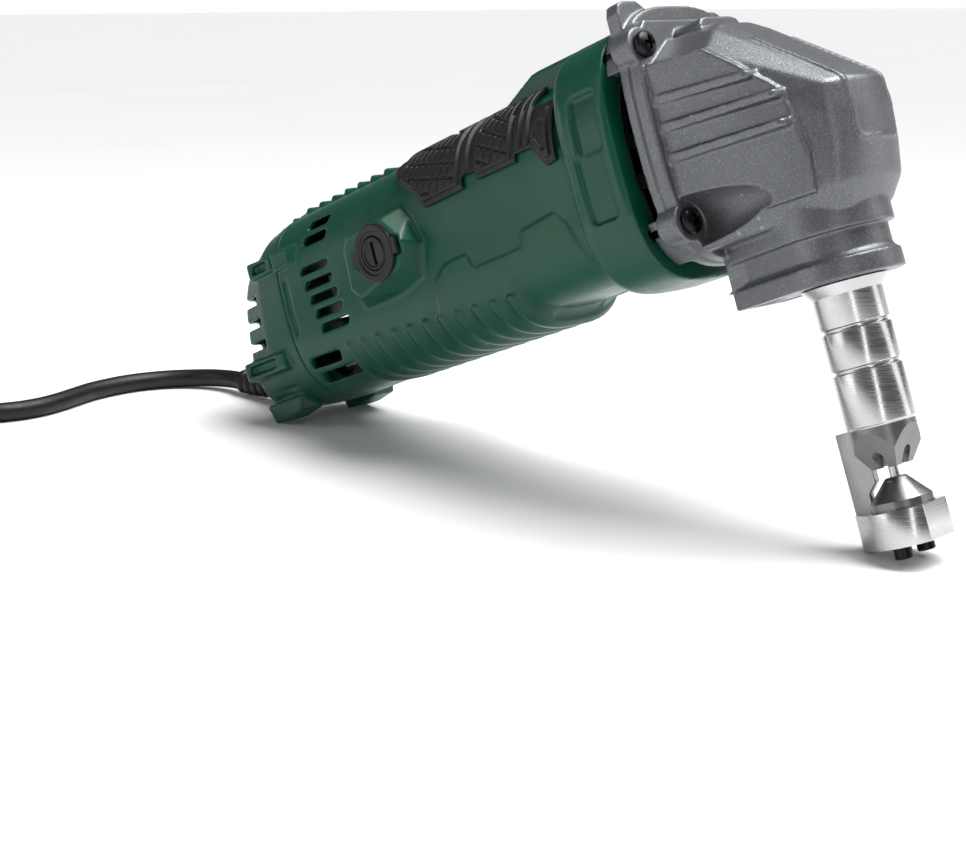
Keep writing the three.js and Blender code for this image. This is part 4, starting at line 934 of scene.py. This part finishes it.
# ------------------------------------------------------------------ screws and brush caps
def pan_screw(index, y, z):
    head, length = FLANGE_SCREW["head"], FLANGE_SCREW["length"]
    rim, rise = 1.5, 1.9
    arc = [(math.cos(math.radians(a)), math.sin(math.radians(a))) for a in range(0, 90, 9)]
    dome = [(head * c, rim + rise * s) for c, s in arc]
    section = [(0, -length), (1.9, -length), (1.9, GAP), (head, GAP), *dome, (0, rim + rise)]
    body = turned("x", section, facets=64)
    for turn in (0, 90):
        arm = hull([(x, a * w, b * 0.62) for x, w in ((4, 2.5), (0.9, 1.3)) for a in SIDES for b in SIDES])
        body = carved(body, rotated(arm, turn + 20 * index, "X"))
    place = TOOL @ Matrix.Translation((FLANGE["front"], y, z))
    piece(crisp(body, 0.12), f"pan_screw_{index + 1}", "housing", SCREW, "black_screw",
          f"head_screw_{index + 1}", edge=40, place=place)


def brush_cap(side):
    """A screwed cap with a coin slot, in a rim with two ears."""
    face, x, z = CAP["face"], CAP["x"], CAP["z"]
    bore, root, slot = 5.9, 33, 0.75
    rim = turned("y", [
        (bore, root), (7.4, root), (7.4, face + GAP), (CAP["rim"], face + GAP), (CAP["rim"], face + 1.2),
        (CAP["rim"] - 0.5, face + 1.6), (7.9, face + 1.6), (7.5, face + 1.1), (bore, face + 1.1)], (x, z))
    rim = joined(rim, box(x - 12, x + 12, face + GAP, face + 1.3, z - 2.9, z + 2.9))
    rim = carved(rim, rod("y", 6.2, 20, 50, (x, z)))
    cap = turned("y", [
        (0, root), (bore, root), (bore, face + 1), (5.5, face + 1.5), (4.9, face + 1.5), (4.5, face + 1),
        (0, face + 1)], (x, z))
    cap = carved(cap, box(x - slot, x + slot, face - 1.4, face + 4, z - 4.1, z + 4.1))
    if side < 0:
        for part in (rim, cap):
            part.data.transform(Matrix.Scale(-1, 4, (0, 1, 0)))
            part.data.flip_normals()
    number = 1 if side < 0 else 2
    for part, name in ((rim, "rim"), (cap, "core")):
        piece(crisp(part, 0.2), f"brush_cap_{name}_{number}", "housing", BLACK, "black_plastic",
              f"brush_cap_{number}", edge=35)


# ------------------------------------------------------------------ die carrier, die and punch
def ring_groove(z):
    """A turned groove in the sleeve's section, centred on z."""
    rim, floor = SLEEVE["radius"], SLEEVE["radius"] - 0.9
    return [(rim, z + 0.75), (floor, z + 0.45), (floor, z - 0.45), (rim, z - 0.75)]


def sleeve():
    radius, end, spigot, seat = SLEEVE["radius"], SLEEVE["bottom"], SPIGOT["radius"], SLEEVE["cone_top"]
    section = [
        (SPIGOT["bore"], SPIGOT["top"]), (spigot, SPIGOT["top"]), (spigot, seat), (SLEEVE["cone"], seat),
        (radius, SLEEVE["top"]), *ring_groove(-70), *ring_groove(-82.4), (radius, end),
        (NOSE["band"], end - 0.4), (NOSE["band"], NOSE["top"]), (SLEEVE["bore"], NOSE["top"]),
        (SLEEVE["bore"], -56.4), (SPIGOT["bore"], -56.4)]
    body = turned("z", section, facets=160)
    piece(crisp(body, 0.15), "sleeve", "die_holder", STEEL, "turned_steel", "die_carrier", edge=30)



def nose():
    """Four sloping faces, each with an arched notch at its foot."""
    body = turned("z", [(NOSE["bore"], NOSE["top"]), (NOSE["band"], NOSE["top"]), (NOSE["band"], NOSE["tip"]),
                        (NOSE["bore"], NOSE["tip"])], facets=160)
    top, tip, out = NOSE["band_end"], NOSE["tip"] - 0.1, NOSE["tip_half"]
    notch, crest = 1.8, -109
    cuts = []
    for turn in (0, 90, 180, 270):
        wedge = prism("y", [(NOSE["band"], top), (out, tip), (14, tip), (14, top)], -14, 14)
        arch = joined(rod("x", notch, 0, 14, (0, crest)), box(0, 14, -notch, notch, -114, crest))
        cuts += [rotated(wedge, turn), rotated(arch, turn)]
    body = carved(body, *cuts, rod("z", 2.4, -114, -108.6))
    piece(crisp(body, 0.12), "nose", "die_holder", FACET, "turned_steel", edge=25)


def web():
    """The thin plate between nose and die block, curved out of the way of the cut sheet."""
    foot, back = BLOCK["bottom"] + 2, -9.7
    outline = [(WEB["rear"], foot), (WEB["rear"], WEB["top"]), (-8, SLEEVE["bottom"] - 0.6), (-5, -104),
               (-5.4, -110.4), (WEB["front"], -112.6), (WEB["front"], -116), (back, -119.2), (back, foot)]
    body = prism("y", outline, -WEB["half"], WEB["half"])
    piece(crisp(body, 0.2), "web", "die_holder", GROUND, "turned_steel", edge=25)


def die_block():
    """A round block with a flat front, narrowed to a lobe behind."""
    plan = []
    for degrees in range(-116, 117, 2):
        x, y = polar(BLOCK["radius"], degrees)
        plan.append((min(x, BLOCK["flat"]), y))
    for degrees in range(116, 245, 4):
        x, y = polar(BLOCK["lobe"], degrees)
        plan.append((BLOCK["lobe_at"] + x, y))
    body = carved(prism("z", plan, BLOCK["bottom"], BLOCK["top"]),
                  rod("z", DIE["base"] + GAP, -127.7, -120), rod("z", 3.2, -140, -120))
    piece(crisp(body, 0.3), "die_block", "die_holder", STEEL, "turned_steel", edge=25)


def die_insert():
    body = turned("z", [
        (DIE["bore"], DIE["top"]), (DIE["tip"] - 0.3, DIE["top"]), (DIE["tip"], DIE["top"] - 0.3),
        (DIE["base"] - 0.6, DIE["skirt"]), (DIE["base"], DIE["skirt"] - 0.6), (DIE["base"], -127.4),
        (2.6, -127.4), (2.6, -120), (DIE["bore"], -119)], facets=128)
    flat = [(3.9, -116.6), (8.7, -122.2), (8.7, -124.5), (12, -124.5), (12, -112), (3.9, -112)]
    flats = [rotated(prism("y", flat, -9.5, 9.5), turn) for turn in (0, 90, -90)]
    piece(crisp(carved(body, *flats), 0.12), "die_insert", "die_holder", FACET, "dark_steel", "die", edge=25)


def die_screw(index, side):
    """A socket screw under the die block, its shank up into the die."""
    head, seat, shank = DIE_SCREW["head"], BLOCK["bottom"] - GAP, 1.2
    under = BLOCK["bottom"] - DIE_SCREW["height"]
    centre = (0, side * DIE_SCREW["y"])
    body = turned("z", [(0, under), (head - 0.35, under), (head, under + 0.35), (head, seat), (shank, seat),
                        (shank, -123.8), (0, -123.8)], centre, 48)
    body = carved(body, rod("z", 1.45, under - 1, under + 2, centre, facets=6))
    piece(crisp(body, 0.1), f"socket_screw_{index + 1}", "die_holder", SCREW, "black_screw",
          f"die_screw_{index + 1}", edge=35)


def punch():
    working, shank, top = 1.5, 3, -72.3
    body = turned("z", [(0, -115.6), (working - 0.1, -115.6), (working, -115.5), (working, -102.5),
                        (shank, -98.5), (shank, top), (0, top)], facets=48)
    piece(body, "punch_pin", "ram", STEEL, "turned_steel", "punch", edge=30)


# ------------------------------------------------------------------ cord guard, tie and plug
RING_SHAPE = [(0.0, 0.5), (0.06, 1.1), (0.3, 1.2), (0.38, 0.7), (0.46, 0.2), (0.54, 0), (0.94, 0)]


def cord_guard():
    """Turned straight, with a rolled lip and rings, then bent upward until it leaves level with the bench."""
    x0, length = CORD_EXIT[0], GUARD["length"]

    def radius_at(s):
        return GUARD["start"] + (GUARD["end"] - GUARD["start"]) * s / length

    section = [(0, GUARD["seat"]), (GUARD["flange"], GUARD["seat"]), (GUARD["flange"], GUARD["seat"] - 2.1),
               (GUARD["start"], GUARD["seat"] - 2.1), (GUARD["start"], x0)]
    section += [(radius_at(s), x0 - s) for s in (3, 6, 9, 12, 14.2)]
    pitch = (length - GUARD["smooth"]) / GUARD["rings"]
    for ring in range(GUARD["rings"]):
        s = GUARD["smooth"] + ring * pitch
        for share, drop in RING_SHAPE:
            section.append((radius_at(s) - drop, x0 - s - pitch * share))
    section += [(GUARD["end"] - 0.5, x0 - length), (0, x0 - length)]
    guard = turned("x", section, facets=64)
    for vertex in guard.data.vertices:
        x, y, z = vertex.co
        s = max(x0 - x, 0)
        if s > 0:
            angle, radius = s / BEND, BEND - z
            vertex.co = (x0 - radius * math.sin(angle), y, CORD_EXIT[1] + BEND - radius * math.cos(angle))
        else:
            vertex.co.z = z + CORD_EXIT[1]
    return piece(guard, "guard", "housing", RUBBER, "rubber", "cord_guard", edge=50)


def coil_tie():
    outer, inner, thick, half = RING["outer"] + GAP, RING["inner"] - 0.6, 0.8, 4
    low_z, high_z = RING["bottom"] - GAP, RING["top"] + GAP
    strap = carved(prism("y", rounded(inner - thick, outer + thick, 0.1, high_z + thick, 2.4), -half, half),
                   prism("y", rounded(inner, outer, low_z, high_z, 1.8), -9, 9))
    strap = joined(strap, box(outer - 1, outer + 3.2, -half - 0.6, half + 0.6, 12, 19))
    place = BENCH @ COIL @ Matrix.Rotation(-math.pi / 2, 4, "Z")
    return piece(crisp(strap, 0.3), "tie", "housing", BLACK, "black_plastic", "coil_tie", edge=35,
                 place=place)


def plug():
    half, thick, length = PLUG["half"], PLUG["thick"] / 2, PLUG["length"]
    points = []
    for x, y, z in ((13, half - 3, thick - 1.6), (19, half, thick - 0.2), (length - 1.5, half, thick - 0.2),
                    (length, half - 1.5, thick - 1.6)):
        points += [(x, u * y, v * z) for u, v in superellipse(4, 24)]
    body = joined(hull(points), rod("x", 4.8, GAP, 14, end_radius=5.6))
    waists = [turned("x", [(4.5, x), (7, x), (7, x + 1.1), (4.5, x + 1.1)]) for x in (2.4, 4.8, 7.2, 9.6)]
    grips = [box(x, x + 1.2, side * half - 0.9, side * half + 0.9, -4, 4)
             for x in (21, 24, 27) for side in SIDES]
    body = softened(carved(body, *waists, *grips), 0.35, 3)
    place = BENCH @ COIL @ plug_place
    made = [piece(body, "plug_moulding", "housing", RUBBER, "rubber", "plug_body", place=place)]
    root, tip = length + GAP, length + 19
    for index, side in enumerate(SIDES):
        pin = turned("x", [(0, root), (2, root), (2, tip - 1.4), (1.2, tip), (0, tip)], (side * 9.2, 0), 32)
        made.append(piece(pin, f"pin_{index + 1}", "housing", BRASS, "brass", f"plug_pin_{index + 1}",
                          edge=35, place=place))
    return made


# ------------------------------------------------------------------ bench and light
def stage():
    floor = bpy.data.objects.new("bench", bpy.data.meshes.new("bench"))
    size = 40
    corners = [(-size, -size, 0), (size, -size, 0), (size, size, 0), (-size, size, 0)]
    floor.data.from_pydata(corners, [], [(0, 1, 2, 3)])
    bpy.context.scene.collection.objects.link(floor)
    paper = Finish("pale_bench", (0.86, 0.86, 0.865), 0.6).mottle(3, 0.02).gloss(40, 0.03)
    floor.data.materials.append(paper.material)

    world = bpy.data.worlds.new("studio")
    world.use_nodes = True
    nodes, links = world.node_tree.nodes, world.node_tree.links
    height = nodes.new("ShaderNodeSeparateXYZ")
    links.new(nodes.new("ShaderNodeTexCoord").outputs["Generated"], height.inputs["Vector"])
    ramp = nodes.new("ShaderNodeValToRGB")
    ramp.color_ramp.elements[0].position = 0.03
    ramp.color_ramp.elements[0].color = (1, 1, 1, 1)
    ramp.color_ramp.elements[1].position = 0.16
    ramp.color_ramp.elements[1].color = (0.13, 0.13, 0.135, 1)
    links.new(height.outputs["Z"], ramp.inputs["Fac"])
    links.new(ramp.outputs["Color"], nodes["Background"].inputs["Color"])
    bpy.context.scene.world = world
    sun = bpy.data.objects.new("sun", bpy.data.lights.new("sun", "SUN"))
    sun.data.energy = 3.5
    sun.data.angle = math.radians(50)
    sun.rotation_euler = (math.radians(-22), math.radians(12), 0)
    bpy.context.scene.collection.objects.link(sun)
    lights = [
        ("key", (0.25, 0.1, 0.9), (0.08, 0, 0.1), 0.45, 0.45, 7),
        ("left", (-0.55, -1.0, 0.45), (0, 0, 0.08), 0.6, 1.1, 3.2),
        ("front", (0.95, -0.75, 0.4), (0.12, 0, 0.07), 0.14, 1.2, 1.8),
        ("right", (0.8, 0.7, 0.45), (0.1, 0, 0.07), 0.4, 1.1, 2.4)]
    for name, place, aim, width, tall, power in lights:
        lamp = bpy.data.objects.new(name, bpy.data.lights.new(name, "AREA"))
        lamp.data.shape = "RECTANGLE"
        lamp.data.size = width
        lamp.data.size_y = tall
        lamp.data.energy = power
        lamp.location = place
        lamp.rotation_mode = "QUATERNION"
        lamp.rotation_quaternion = (Vector(aim) - Vector(place)).to_track_quat("-Z", "Y")
        bpy.context.scene.collection.objects.link(lamp)
    bpy.context.scene.view_settings.view_transform = "Standard"


motor_housing()
tail_cover()
grip_overlay()
switch_button()
gear_housing()
for index, (y, z) in enumerate(SCREW_PLACES):
    pan_screw(index, y, z)
for side in SIDES:
    brush_cap(side)
sleeve()
nose()
web()
die_block()
die_insert()
for index, side in enumerate(SIDES):
    die_screw(index, side)
punch()
cord_guard()
tie = coil_tie()
plug_pieces = plug()
finish_cad_nodes()
stage()
